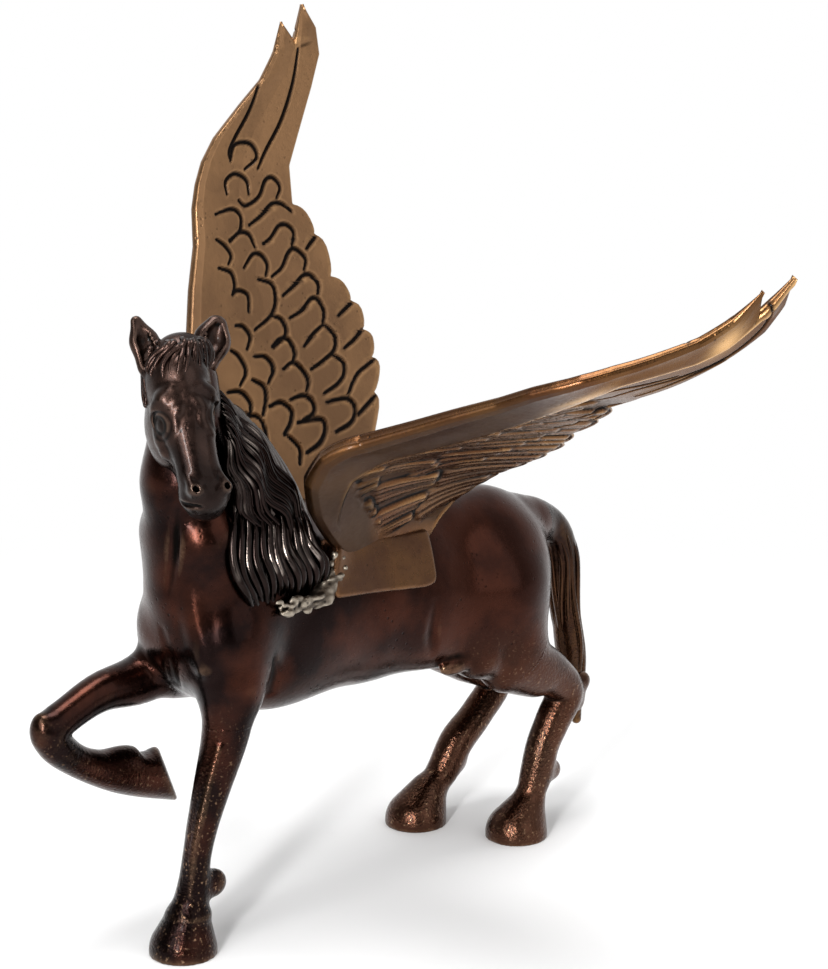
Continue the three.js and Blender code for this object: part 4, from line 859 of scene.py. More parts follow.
def lifted(w, s, t, high):
    """The same points lifted off the plate, positive on the inner face."""
    along = plate(w, s + 0.5, t) - plate(w, s - 0.5, t)
    across = plate(w, s, t + 0.5) - plate(w, s, t - 0.5)
    out = np.cross(along, across)
    out /= np.linalg.norm(out, axis=-1, keepdims=True)
    return plate(w, s, t) + out * (high * w["side"])[..., None]


print("left wing tip at", metres(plate(WINGS["left_wing"], np.array([153.0]), np.array([39.0])))[0])

# %% [markdown]
# ## Chased lines
#
# On the inner face a punch has drawn 39 bows, one round the end of each feather. Every line is a short
# smooth curve. Its groove is deepest in the middle of its length and fades out at both ends, as a
# punch leaves the metal, and black patina fills it.

# %% Bows as shares of span and chord
BOWS = [
    [[0.256, -0.041], [0.254, 0.017], [0.232, 0.049], [0.21, 0.028]],
    [[0.266, 0.022], [0.292, 0.056], [0.322, 0.033], [0.335, 0.001]],
    [[0.216, 0.012], [0.205, 0.071], [0.178, 0.071], [0.153, 0.038]],
    [[0.275, 0.081], [0.259, 0.128], [0.235, 0.124], [0.211, 0.092]],
    [[0.335, 0.076], [0.358, 0.097], [0.379, 0.071], [0.382, 0.038]],
    [[0.407, 0.108], [0.439, 0.113], [0.45, 0.071], [0.442, 0.044]],
    [[0.442, 0.044], [0.461, 0.06], [0.485, 0.049], [0.496, -0.004]],
    [[0.502, 0.044], [0.518, 0.06], [0.537, 0.038], [0.551, 0.001]],
    [[0.548, 0.06], [0.564, 0.113], [0.592, 0.128], [0.608, 0.092], [0.6, 0.012]],
    [[0.638, 0.076], [0.662, 0.076], [0.676, 0.124], [0.662, 0.172], [0.635, 0.177]],
    [[0.624, 0.128], [0.613, 0.156], [0.629, 0.221], [0.659, 0.256], [0.665, 0.29], [0.646, 0.321],
     [0.624, 0.3]],
    [[0.701, 0.108], [0.732, 0.135], [0.733, 0.205], [0.706, 0.231], [0.684, 0.172]],
    [[0.701, 0.108], [0.727, 0.113], [0.793, 0.209], [0.843, 0.264]],
    [[0.684, 0.231], [0.717, 0.273], [0.776, 0.359], [0.848, 0.428], [0.913, 0.465]],
    [[0.175, 0.167], [0.15, 0.204], [0.126, 0.172]],
    [[0.224, 0.135], [0.229, 0.188], [0.213, 0.226], [0.192, 0.204], [0.175, 0.156]],
    [[0.265, 0.151], [0.292, 0.183], [0.316, 0.156], [0.32, 0.103]],
    [[0.333, 0.199], [0.352, 0.253], [0.368, 0.265], [0.388, 0.247], [0.395, 0.212]],
    [[0.371, 0.124], [0.395, 0.204], [0.423, 0.236], [0.456, 0.231], [0.469, 0.172]],
    [[0.493, 0.113], [0.518, 0.162], [0.515, 0.199], [0.496, 0.221], [0.475, 0.209]],
    [[0.545, 0.064], [0.562, 0.113], [0.556, 0.156], [0.531, 0.176]],
    [[0.142, 0.231], [0.156, 0.317], [0.178, 0.364], [0.194, 0.349], [0.192, 0.241]],
    [[0.196, 0.273], [0.205, 0.327], [0.224, 0.333], [0.237, 0.3], [0.232, 0.236]],
    [[0.243, 0.317], [0.265, 0.333], [0.29, 0.305], [0.301, 0.273], [0.29, 0.231]],
    [[0.301, 0.273], [0.319, 0.29], [0.346, 0.269], [0.349, 0.231], [0.335, 0.192]],
    [[0.472, 0.236], [0.488, 0.285], [0.515, 0.321], [0.523, 0.354], [0.502, 0.397], [0.48, 0.385]],
    [[0.537, 0.215], [0.548, 0.253], [0.57, 0.295], [0.57, 0.333], [0.554, 0.359], [0.531, 0.344]],
    [[0.575, 0.162], [0.592, 0.221], [0.613, 0.273], [0.613, 0.317], [0.597, 0.359]],
    [[0.388, 0.29], [0.401, 0.349], [0.423, 0.401], [0.417, 0.433], [0.392, 0.449], [0.368, 0.433]],
    [[0.433, 0.273], [0.45, 0.327], [0.469, 0.376], [0.469, 0.41], [0.45, 0.44], [0.431, 0.433]],
    [[0.33, 0.337], [0.352, 0.385], [0.368, 0.433]],
    [[0.284, 0.354], [0.301, 0.423], [0.319, 0.474], [0.346, 0.482], [0.368, 0.445]],
    [[0.237, 0.397], [0.251, 0.465], [0.27, 0.504], [0.292, 0.504], [0.308, 0.465]],
    [[0.17, 0.41], [0.183, 0.497], [0.205, 0.529], [0.224, 0.497], [0.221, 0.401]],
    [[0.194, 0.538], [0.213, 0.603], [0.225, 0.641]],
    [[0.232, 0.509], [0.265, 0.562], [0.281, 0.615], [0.292, 0.654]],
    [[0.319, 0.519], [0.335, 0.573], [0.354, 0.615]],
    [[0.384, 0.513], [0.408, 0.583]],
    [[0.521, 0.408], [0.544, 0.456]],
]


def near_line(s, t, line, reach):
    """Distance to a polyline in the (s, t) plane and the share of its length at the nearest point."""
    best, where = np.full(s.shape, 99.0), np.zeros(s.shape)
    box = (s > line[:, 0].min() - reach) & (s < line[:, 0].max() + reach)
    box &= (t > line[:, 1].min() - reach) & (t < line[:, 1].max() + reach)
    ps, pt = s[box], t[box]
    b, w = best[box], where[box]
    for i in range(len(line) - 1):
        a, e = line[i], line[i + 1] - line[i]
        u = np.clip(((ps - a[0]) * e[0] + (pt - a[1]) * e[1]) / max(e @ e, 1e-9), 0, 1)
        d = np.hypot(ps - a[0] - u * e[0], pt - a[1] - u * e[1])
        w = np.where(d < b, (i + u) / (len(line) - 1), w)
        b = np.minimum(d, b)
    best[box], where[box] = b, w
    return best, where


def grooves(s, t, lines, width, depth):
    """Depth of the grooves below the face, and how dark they are from 0 to 1."""
    low, dark = np.zeros(s.shape), np.zeros(s.shape)
    for line in lines:
        d, x = near_line(s, t, smooth_line(np.array(line) * [SPAN, CHORD]), width + 1)
        half = width / 2 * (0.55 + 0.45 * np.sin(np.pi * np.clip(x, 0.04, 0.96)) ** 0.5)
        inside = np.clip(1 - (d / half) ** 2, 0, 1)
        lip = 0.12 * np.exp(-((d - half - 0.25) / 0.35) ** 2)
        low = np.maximum(low, depth * inside ** 0.7) - lip * (d < 3)
        dark = np.maximum(dark, np.clip(1.25 - d / half, 0, 1))
    return low, np.clip(dark * 1.5, 0, 1)


# %% [markdown]
# ## Feathers in relief
#
# The outer face has raised feathers in tiers, like roof tiles: each one rises towards its rounded tip
# and drops off there. The spar is a smooth band, darkened with painted shade, between the leading edge and
# a ridge that is worn bright and carries a painted highlight.

# %% Feathers
SPAR = np.array([[0, -6], [14, -14], [28, -11], [34, -5], [45, 0.5], [55, 4], [65, 8], [75, 9.5], [95, 10.5],
                 [105, 9], [112, 10], [118, 17], [125, 27], [132, 33], [142, 37], [153, 40]])
TIERS = [
    ([[0.085, 0.097], [0.137, 0.045], [0.203, 0.02]], (0.03, 0.14), 7, 1.3, 1.5),
    ([[0.088, 0.3], [0.17, 0.36], [0.255, 0.24]], (0.045, 0.235), 7, 2.0, 1.6),
    ([[0.27, 0.2], [0.36, 0.23], [0.46, 0.22]], (0.07, 0.16), 7, 1.9, 1.3),
    ([[0.48, 0.26], [0.55, 0.26], [0.64, 0.25]], (0.1, 0.1), 5, 1.8, 1.0),
    ([[0.3, 0.44], [0.42, 0.42], [0.57, 0.37]], (0.09, 0.2), 9, 2.2, 1.3),
]
HAND_LINES = [
    [[0.66, 0.15], [0.70, 0.2], [0.735, 0.28], [0.77, 0.36]],
    [[0.64, 0.23], [0.706, 0.27], [0.771, 0.385], [0.837, 0.487], [0.915, 0.526], [0.954, 0.462]],
    [[0.536, 0.32], [0.588, 0.345], [0.64, 0.359]],
    [[0.49, 0.359], [0.536, 0.4], [0.58, 0.42]],
    [[0.69, 0.33], [0.76, 0.4], [0.83, 0.49]],
]


def smooth_step(x):
    x = np.clip(x, 0, 1)
    return x * x * (3 - 2 * x)


def feather(s, t, tip, base, half, rise):
    """Height of one feather, a long dome that rises towards its rounded tip, and the dark line round it."""
    tip, base = np.array(tip) * [SPAN, CHORD], np.array(base) * [SPAN, CHORD]
    along = tip - base
    length = np.linalg.norm(along)
    along /= length
    x = ((s - base[0]) * along[0] + (t - base[1]) * along[1]) / length
    y = np.abs(-(s - base[0]) * along[1] + (t - base[1]) * along[0]) / half
    out = np.sqrt(y ** 2 + np.maximum(0, (x - 1) * length / half + 1) ** 2)
    dome = np.sqrt(np.clip(1 - out ** 2, 0, 1)) * smooth_step(x / 0.12)
    shaft = 0.2 * np.exp(-(y / 0.16) ** 2) + 0.16 * np.exp(-((out - 0.72) / 0.1) ** 2)
    line = np.exp(-((out - 1.0) / 0.1) ** 2) * smooth_step((x - 0.1) / 0.4)
    return dome * rise * (0.45 + 0.55 * np.clip(x, 0, 1) - shaft), line


def feathers(s, t):
    """Height of the outer face, its darkness (patina round the feathers, painted shade on the band and by the root)
    and its brightness (a worn ridge, painted highlights).
    """
    loose = np.random.default_rng(3)
    rows = []
    for (s0, t0), (s1, t1) in zip(NOTCHES[:-1], NOTCHES[1:]):
        for share in (0.3, 0.75):
            tip = np.array([s0 + (s1 - s0) * share, t0 + (t1 - t0) * share + 0.01])
            rows.append((tip, tip - [0.09, 0.3], 0.25 * (s1 - s0) * SPAN, 1.2))
    for tips, back, count, half, rise in TIERS[::-1]:
        for tip in smooth_line(tips, count):
            tip = tip + loose.uniform(-0.012, 0.012, 2)
            base = tip - np.array(back) * loose.uniform(1.25, 1.6, 2)
            rows.append((tip, base, half * loose.uniform(0.85, 1.2), rise * loose.uniform(0.9, 1.1)))
    high, dark = np.zeros(s.shape), np.zeros(s.shape)
    for row in rows:
        dome, line = feather(s, t, *row)
        dark = np.maximum(dark * (1 - smooth_step(dome / 0.35)), line)
        high = np.maximum(high, dome)
    ridge = np.interp(s, SPAR[:, 0], SPAR[:, 1])
    lead = np.interp(s, LEADING[:, 0] * SPAN, LEADING[:, 1] * CHORD)
    back = np.interp(s, TRAILING[:, 0] * SPAN, TRAILING[:, 1] * CHORD)
    behind = smooth_step((t - ridge) / 1.5)
    field = behind * smooth_step((s - 6) / 5) * smooth_step((104 - s) / 12) * smooth_step((t + s * 0.9 - 14) / 4)
    dark = field * np.maximum(dark, 0.5 - 0.5 * smooth_step(high / 0.4)) * smooth_step((back - t - 1.0) / 2)
    band = 1.5 * smooth_step((t - lead) / np.maximum(ridge - lead, 4)) ** 1.5
    band = np.where(t > ridge, 1.5 * smooth_step(1 - (t - ridge) / 1.8), band)
    band = band * smooth_step((s - 8) / 20) * (1 - 0.4 * smooth_step((s - 120) / 30))
    # Painted shade: the smooth band in front of the ridge and the hollow by the root are darkened
    shade = 0.42 * smooth_step((ridge - 0.8 - t) / 1.5) * smooth_step((112 - s) / 25)
    shade = np.maximum(shade, 0.6 * smooth_step((36 - s) / 16) * smooth_step((8 - t) / 8))
    # The ridge is worn bright and carries a painted highlight; the two spots after it are painted highlights, lamp
    # reflections on the spar
    wear_and_highlight = 0.9 * np.exp(-((t - ridge) / 0.75) ** 2) * smooth_step((s - 12) / 25)
    for at, wide in (((99, 7.5), (9, 2.0)), ((133, 31), (5, 3.5))):
        wear_and_highlight = np.maximum(wear_and_highlight, np.exp(-((s - at[0]) / wide[0]) ** 2 - ((t - at[1]) / wide[1]) ** 2))
    low, line = grooves(s, t, HAND_LINES, 1.3, 0.6)
    return (high - 0.8) * field + band - low, np.maximum(np.maximum(dark, line), shade), wear_and_highlight


# %% Blades
def section(s, t_back, lead_s, lead_t):
    """Half thickness of the blade against the distance behind its nose."""
    chord = np.hypot((s - lead_s) * SPAN, (t_back - lead_t) * CHORD)
    nose = min(3.4 * (1 - 0.6 * s), chord / 6)
    thin = 2.4 * (1 - 0.4 * s) / 2
    x = [0, 0.06 * nose, 0.3 * nose, 1.2 * nose, 3 * nose, max(4.5 * nose, 0.45 * chord), chord - 0.5, chord]
    h = [0, 0.3 * nose, 0.72 * nose, nose, 0.75 * nose + 0.25 * thin, thin, thin * 0.8, thin * 0.25]
    return chord, np.array(x), np.array(h)


SPLIT, FINGER = [0.931, 0.452], [0.967, 1.0]


def rows_between(start, end, count, front, back, columns):
    """Stations from start to end of the span, and columns from the front edge to the back edge."""
    S, T, H = [], [], []
    for s in np.linspace(start, end, count):
        (lead_s, lead_t), t_back = front(s), back(s)
        chord, x, h = section(s, t_back, lead_s, lead_t)
        S.append((lead_s + (s - lead_s) * columns) * SPAN)
        T.append((lead_t + (t_back - lead_t) * columns) * CHORD)
        H.append(np.interp(columns * chord, x, h))
    return np.array(S), np.array(T), np.array(H)


def leading(s):
    lead_s = s * LEADING[-1, 0]
    return lead_s, np.interp(lead_s, LEADING[:, 0], LEADING[:, 1])


def trailing_edge(s):
    return np.interp(s, TRAILING[:, 0], TRAILING[:, 1])


def blade_rings(w, S, T, H, columns):
    """Closed rings of points round each station, inner face first, and how dark each point is."""
    edge = np.minimum(1, np.minimum(columns, 1 - columns) / 0.03)
    low, dark_in = grooves(S, T, BOWS, 1.6, 0.65)
    high, dark_out, wear_and_highlight = feathers(S, T)
    inner = lifted(w, S, T, H - low * edge)
    outer = lifted(w, S, T, -H - high * edge)
    calm = np.minimum(1, np.clip((T - np.interp(S, LEADING[:, 0] * SPAN, LEADING[:, 1] * CHORD)) / 3 - 0.6, 0, 1))
    return inner, outer, dark_in, dark_out, calm, wear_and_highlight


def blade_mesh(w, stations=280, columns=118, finger_rows=26):
    """The blade up to the split, and two fingers beyond it that share its last ring."""
    share = np.linspace(0, 1, columns)
    share = 0.25 * share ** 2 + 0.75 * share
    split_t = SPLIT[1]
    lead_s, lead_t = leading(SPLIT[0])
    reach = (split_t - lead_t) / (trailing_edge(SPLIT[0]) - lead_t)
    c = int(np.argmin(np.abs(share - reach)))
    points, darks, calms, wear_and_highlight_rows, faces = [], [], [], [], []

    def first_front(s):
        x = (s - SPLIT[0]) / (FINGER[0] - SPLIT[0])
        at = lead_s + x * (FINGER[0] - lead_s)
        return at, np.interp(at, LEADING[:, 0], LEADING[:, 1])

    def add_rows(front, back, start, end, count, cols):
        S, T, H = rows_between(start, end, count, front, back, cols)
        inner, outer, dark_in, dark_out, calm, wear_and_highlight = blade_rings(w, S, T, H, cols)
        first = sum(len(p) for p in points)
        points.extend([inner.reshape(-1, 3), outer.reshape(-1, 3)])
        darks.extend([dark_in.ravel(), dark_out.ravel()])
        calms.extend([calm.ravel(), calm.ravel()])
        wear_and_highlight_rows.extend([wear_and_highlight.ravel() * 0, wear_and_highlight.ravel()])
        size = S.size
        number = np.arange(size).reshape(S.shape) + first
        return number, number + size

    def wall(ring_a, ring_b):
        for k in range(len(ring_a)):
            n = (k + 1) % len(ring_a)
            faces.append([ring_a[k], ring_a[n], ring_b[n], ring_b[k]])

    def cap(inner, outer, flip):
        for k in range(len(inner) - 1):
            face = [inner[k], inner[k + 1], outer[k + 1], outer[k]]
            faces.append(face[::-1] if flip else face)

    def ring(inner, outer):
        return [*inner, *outer[::-1]]

    inner, outer = add_rows(leading, trailing_edge, 0, SPLIT[0], stations, share)
    for a in range(stations - 1):
        wall(ring(inner[a], outer[a]), ring(inner[a + 1], outer[a + 1]))
    cap(inner[0], outer[0], True)
    row = (inner[-1], outer[-1])
    parts = [
        (first_front, lambda s: split_t - 0.05 * (s - SPLIT[0]) / 0.036, FINGER[0], slice(0, c + 1)),
        (lambda s: (s, split_t + 0.05 * (s - SPLIT[0]) / 0.069), trailing_edge, FINGER[1], slice(c, columns)),
    ]
    for front, back, end, cols in parts:
        own = (share[cols] - share[cols][0]) / (share[cols][-1] - share[cols][0])
        inner, outer = add_rows(front, back, SPLIT[0] + 0.002, end, finger_rows, own)
        last = (row[0][cols], row[1][cols])
        for a in range(finger_rows):
            wall(ring(*last), ring(inner[a], outer[a]))
            last = (inner[a], outer[a])
        cap(*last, False)
    faces = np.array(faces)
    if w["side"] > 0:
        faces = faces[:, ::-1]
    return [np.concatenate(points), faces.tolist(), *map(np.concatenate, (darks, calms, wear_and_highlight_rows))]


for name, w in WINGS.items():
    points, faces, dark, calm, wear_and_highlight = blade_mesh(w)
    metal_of_wing = LEFT_WING if w["side"] > 0 else RIGHT_WING
    wing = to_object(name + "_blade", points, faces, metal_of_wing, scale=0.16, extra={"patina_and_shade": dark, "wear_and_highlight": wear_and_highlight},
                     calm=calm)
    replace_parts(wing, name)

# %% [markdown]
# ## The pads
#
# Each wing stands on a flange that follows the flank of the horse like a saddle flap. It is the skin of
# the trunk, 4.4 mm thicker, cut to the outline of the flange.

# %% Pads
PAD_EDGE = np.array([[-0.5, -0.25], [-0.05, -0.4], [0.36, -0.53], [0.46, -0.42], [0.48, -0.2], [0.488, 0.6],
                     [-0.381, 0.8], [-0.5, 0.2]]) * PAD_SIZE + [PAD_Y - 3.2, PAD_Z - 0.5]


def pad_field(side):
    def field(d, p):
        d = d - 4.4
        q = p[..., 1:]
        for a, b in zip(PAD_EDGE, np.roll(PAD_EDGE, -1, 0)):
            e = (b - a) / np.linalg.norm(b - a)
            d = join(d, -((q - a) @ np.array([e[1], -e[0]])), 2.0, True)
        return np.maximum(d, 3 - side * p[..., 0])
    return field


for name, w in WINGS.items():
    side = w["side"]
    lo = [min(side * 3, side * 26), PAD_Y - 28, PAD_Z - 12]
    hi = [max(side * 3, side * 26), PAD_Y + 24, PAD_Z + 15]
    points, faces = skin(torso, 0.6, lo, hi, pad_field(side))
    pad = to_object(name + "_pad", points, faces, PAD_METAL, calm=0.3)
    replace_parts(pad, name)

# %% [markdown]
# ## Hair by Geometry Nodes
#
# The mane is a bundle of wavy locks. Writing each hair out would be tedious, so a node tree does it:
# it takes a few guide lines, makes several strands from each, spreads and waves them with a fixed
# seed, gives them a taper and a round section, and turns them into a mesh.

# %% A strand maker
def strand_tree():
    tree = bpy.data.node_groups.new("strands", "GeometryNodeTree")
    face = tree.interface
    face.new_socket("Geometry", in_out="INPUT", socket_type="NodeSocketGeometry")
    for name, value, kind in (("Strands", 4, "Int"), ("Spread", 0.001, "Float"), ("Wave", 0.0006, "Float"),
                              ("Turns", 3.0, "Float"), ("Radius", 0.0008, "Float"), ("Seed", 1, "Int"),
                              ("Points", 40, "Int"), ("Scatter", 1.0, "Float"), ("Tip", 0.25, "Float")):
        socket = face.new_socket(name, in_out="INPUT", socket_type="NodeSocket" + kind)
        socket.default_value = value
    face.new_socket("Material", in_out="INPUT", socket_type="NodeSocketMaterial")
    face.new_socket("Geometry", in_out="OUTPUT", socket_type="NodeSocketGeometry")
    inp = add(tree, "NodeGroupInput").outputs
    curve = add(tree, "GeometryNodeMeshToCurve", {0: inp["Geometry"]})
    curve = add(tree, "GeometryNodeResampleCurve", {"Curve": curve.outputs[0], "Count": inp["Points"]})
    many = add(tree, "GeometryNodeDuplicateElements", {"Geometry": curve.outputs[0], "Amount": inp["Strands"]},
               domain="SPLINE")
    share = add(tree, "GeometryNodeSplineParameter").outputs["Factor"]
    spline = add(tree, "GeometryNodeInputIndex").outputs[0]
    number = add(tree, "GeometryNodeFieldOnDomain", {0: spline}, data_type="INT", domain="CURVE").outputs[0]

    def randomly(low, high, seed):
        shift = add(tree, "ShaderNodeMath", {0: inp["Seed"], 1: seed}, operation="ADD").outputs[0]
        return add(tree, "FunctionNodeRandomValue", {"Min": low, "Max": high, "ID": number, "Seed": shift},
                   data_type="FLOAT_VECTOR").outputs[0]

    offset = randomly((-1, -1, -1), (1, 1, 1), 11)
    offset = add(tree, "ShaderNodeVectorMath", {0: offset, "Scale": inp["Spread"]}, operation="SCALE")
    phase = randomly((0, 0, 0), (6.28, 6.28, 6.28), 29)
    phase = add(tree, "ShaderNodeVectorMath", {0: phase, "Scale": inp["Scatter"]}, operation="SCALE").outputs[0]
    turns = add(tree, "ShaderNodeMath", {0: share, 1: inp["Turns"]}, operation="MULTIPLY").outputs[0]
    angle = add(tree, "ShaderNodeMath", {0: turns, 1: 6.2832}, operation="MULTIPLY").outputs[0]
    angle = add(tree, "ShaderNodeVectorMath", {0: phase, 1: angle}, operation="ADD").outputs[0]
    wave = add(tree, "ShaderNodeVectorMath", {0: angle}, operation="SINE").outputs[0]
    wave = add(tree, "ShaderNodeVectorMath", {0: wave, "Scale": inp["Wave"]}, operation="SCALE")
    total = add(tree, "ShaderNodeVectorMath", {0: offset.outputs[0], 1: wave.outputs[0]}, operation="ADD")
    moved = add(tree, "GeometryNodeSetPosition", {"Geometry": many.outputs[0], "Offset": total.outputs[0]})
    bulge = add(tree, "ShaderNodeMath", {0: share, 1: 3.1416}, operation="MULTIPLY").outputs[0]
    bulge = add(tree, "ShaderNodeMath", {0: bulge}, operation="SINE").outputs[0]
    bulge = add(tree, "ShaderNodeMath", {0: bulge, 1: 0.5}, operation="POWER").outputs[0]
    rest = add(tree, "ShaderNodeMath", {0: 1.0, 1: inp["Tip"]}, operation="SUBTRACT").outputs[0]
    radius = add(tree, "ShaderNodeMath", {0: bulge, 1: rest, 2: inp["Tip"]}, operation="MULTIPLY_ADD").outputs[0]
    radius = add(tree, "ShaderNodeMath", {0: radius, 1: inp["Radius"]}, operation="MULTIPLY").outputs[0]
    thick = add(tree, "GeometryNodeSetCurveRadius", {"Curve": moved.outputs[0], "Radius": radius})
    ring = add(tree, "GeometryNodeCurvePrimitiveCircle", {"Resolution": 8, "Radius": 1.0})
    mesh = add(tree, "GeometryNodeCurveToMesh", {"Curve": thick.outputs[0], "Profile Curve": ring.outputs[0],
                                                 "Fill Caps": True, "Scale": radius})
    real = add(tree, "GeometryNodeRealizeInstances", {0: mesh.outputs[0]})
    done = add(tree, "GeometryNodeSetMaterial", {"Geometry": real.outputs[0], "Material": inp["Material"]})
    add(tree, "NodeGroupOutput", {0: done.outputs[0]})
    return tree


STRANDS = strand_tree()


def grow(name, guides, material, scale=1.1, painted_highlight=0.0, **inputs):
    """Strands along guide lines in millimetres. The node tree's result becomes a plain mesh."""
    points, edges = [], []
    for guide in guides:
        first = len(points)
        points += list(metres(guide))
        edges += [(first + i, first + i + 1) for i in range(len(guide) - 1)]
    mesh = bpy.data.meshes.new(name + "_guides")
    mesh.from_pydata(points, edges, [])
    piece = bpy.data.objects.new(name, mesh)
    bpy.context.scene.collection.objects.link(piece)
    modifier = piece.modifiers.new("strands", "NODES")
    modifier.node_group = STRANDS
    for socket in STRANDS.interface.items_tree:
        if socket.in_out == "INPUT" and socket.name in inputs:
            modifier[socket.identifier] = inputs[socket.name]
        if socket.name == "Material":
            modifier[socket.identifier] = material
    view = piece.evaluated_get(bpy.context.evaluated_depsgraph_get())
    grown = bpy.data.meshes.new_from_object(view)
    piece.modifiers.clear()
    piece.data = grown
    grown.shade_smooth()
    measure_hollows(grown, scale, 2)
    # A painted highlight along each strand, on the side that faces the front lamps, in broken streaks
    at, out = np.zeros(len(grown.vertices) * 3), np.zeros(len(grown.vertices) * 3)
    grown.vertices.foreach_get("co", at)
    grown.vertices.foreach_get("normal", out)
    at, out = at.reshape(-1, 3) * 1000, out.reshape(-1, 3)
    streak = smooth_step((np.sin(at[:, 2] * 0.42 + at[:, 1] * 0.9) + np.sin(at[:, 2] * 0.17 - at[:, 1] * 0.5)) / 1.2)
    painted_glint_mask = smooth_step((out @ np.array([0.72, -0.66, 0.2]) - 0.93) / 0.06) * (0.15 + 0.85 * streak)
    grown.attributes.new("wear_and_highlight", "FLOAT", "POINT").data.foreach_set("value", painted_glint_mask * painted_highlight)
    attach(piece, "root")
    print(name, len(grown.polygons), "faces")
    return piece


# %% Mane
MANE_ROWS = np.array([
    [on_neck(3, 4, 0.8), on_neck(5, 22, 0.52)],
    [on_neck(10, 8, 0.58), on_neck(11, 29, 0.27)],
    [on_neck(15, 5, 0.24), on_neck(15.5, 32, 0.06)],
    [on_neck(17.5, 5, -0.02), on_neck(18, 34, -0.08)],
    [on_neck(18, 8, -0.23), on_neck(18.5, 31, -0.23)],
])
# Each key strand is a list of (front 0 to rear 1, row) spots; the strands between are worked out
CREST = [
    [(0.0, 0.1), (0.48, 0.24), (0.55, 0.55), (0.62, 0.78), (0.72, 0.95), (0.8, 1.2), (0.86, 1.6), (0.95, 2.0)],
    [(-0.07, 0.5), (0.21, 0.58), (0.28, 0.84), (0.4, 1.1), (0.53, 1.22), (0.72, 1.4), (0.8, 1.7), (0.86, 2.1)],
    [(-0.24, 1.1), (-0.06, 1.24), (0.12, 1.34), (0.22, 1.5), (0.36, 1.64), (0.52, 1.8), (0.63, 2.1), (0.68, 2.6)],
]
FRONT = [
    [(-0.2, 1.12), (0.02, 1.3), (0.16, 1.5), (0.3, 1.75), (0.42, 2.0)],
    [(-0.21, 1.18), (-0.07, 1.38), (0.02, 1.58), (0.13, 1.8), (0.24, 2.08)],
    [(-0.26, 1.2), (-0.2, 1.45), (-0.14, 1.68), (-0.06, 1.9), (0.06, 2.12)],
]
LOWER = [
    [(-0.13, 2.0), (-0.22, 2.75), (-0.2, 3.3), (0.0, 3.95)],
    [(0.11, 1.95), (0.03, 2.64), (0.04, 3.2), (0.14, 3.9)],
    [(0.35, 1.9), (0.29, 2.56), (0.3, 3.1), (0.38, 3.85)],
    [(0.5, 1.8), (0.45, 2.5), (0.48, 3.1), (0.58, 3.85)],
    [(0.7, 1.7), (0.68, 2.34), (0.7, 2.95), (0.82, 3.7)],
    [(0.9, 1.5), (0.88, 2.1), (0.9, 2.75), (1.0, 3.45)],
]


def on_mane(u, v, lift):
    row = MANE_ROWS[:, 0] * (1 - u) + MANE_ROWS[:, 1] * u
    return [np.interp(v, range(len(row)), row[:, k]) + (lift if k == 0 else 0) for k in range(3)]


def family(keys, count, lift, arch=0.0):
    """Strands from the first key strand to the last. arch raises the middle of each one."""
    keys = np.array(keys)
    lines = smooth_line(keys.reshape(len(keys), -1), count).reshape(count, -1, 2)
    high = lift + arch * np.sin(np.linspace(0, np.pi, keys.shape[1]))
    jitter = RANDOM.uniform(-0.5, 0.5, count)
    return [smooth_line([on_mane(u, v, h + j) for (u, v), h in zip(line, high)], 26)
            for line, j in zip(lines, jitter)]


under = [smooth_line([on_mane(u, v, -2.4) for v in (0, 1, 2, 3, 3.6)], 12) for u in np.linspace(0.02, 0.92, 9)]
for name, guides, sizes in (
        ("mane_under", under, dict(Strands=1, Spread=0.0, Wave=0.0, Radius=0.0027, Points=30, Tip=0.7)),
        ("mane_crest", family(CREST, 19, 0.3, 1.6), dict(Strands=1, Spread=0.0004, Wave=0.0005, Turns=3.0,
                                                    Radius=0.00085, Points=60, Scatter=0.25, Tip=0.3)),
        ("mane_front", family(FRONT, 11, 1.0, 0.6), dict(Strands=1, Spread=0.0004, Wave=0.0005, Turns=2.0,
                                                         Radius=0.0009, Points=44, Scatter=0.25, Tip=0.3)),
        ("mane_lower", family(LOWER, 14, -0.3, 3.6), dict(Strands=1, Spread=0.0003, Wave=0.0005, Turns=1.5,
                                                          Radius=0.00125, Points=50, Scatter=0.3, Tip=0.3))):
    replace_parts(grow(name, guides, MANE_METAL, painted_highlight=0.8, **sizes), "mane")

# %% Forelock and tail hair
locks = []
for angle in [*np.linspace(-62, 62, 13), -82, -96, -108]:
    reach = 0.15 + 0.05 * np.cos(np.radians(2 * angle)) + RANDOM.uniform(-0.02, 0.02) + 0.15 * (angle < -70)
    spots = [on_skull(l, angle * w, lift)
             for l, w, lift in ((0.01, 0.6, -0.1), (0.06, 0.85, 0.2), (0.11, 1, 0.2), (reach, 0.98, -0.4))]
    behind = [-0.06, spots[0][1] * 0.9, -7.0]
    locks.append(smooth_line([face(*spot) for spot in (behind, *spots)], 20))
forelock = grow("forelock", locks, HEAD_METAL, Strands=2, Spread=0.0005, Wave=0.0004, Turns=1.5,
                Radius=0.0009, Points=40, Scatter=0.5)
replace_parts(forelock, "head")

hairs = []
for angle in np.radians(np.arange(0, 360, 30)):
    hairs.append(smooth_line([np.array(on_tail(0.7 * drop, y, drop)) + np.array([np.cos(angle), np.sin(angle), 0]) * r
                              for drop, y, r in ((0.1, 17.5, 4.2), (0.25, 21.6, 4.1), (0.5, 23, 4.0),
                                                 (0.75, 24.6, 3.6), (1.0, 27, 1.0))], 24))
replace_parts(grow("tail_strands", hairs, TAIL_METAL, Strands=1, Spread=0.0003, Wave=0.0006, Turns=1.5,
                 Radius=0.0011, Points=40, Scatter=0.5), "tail")

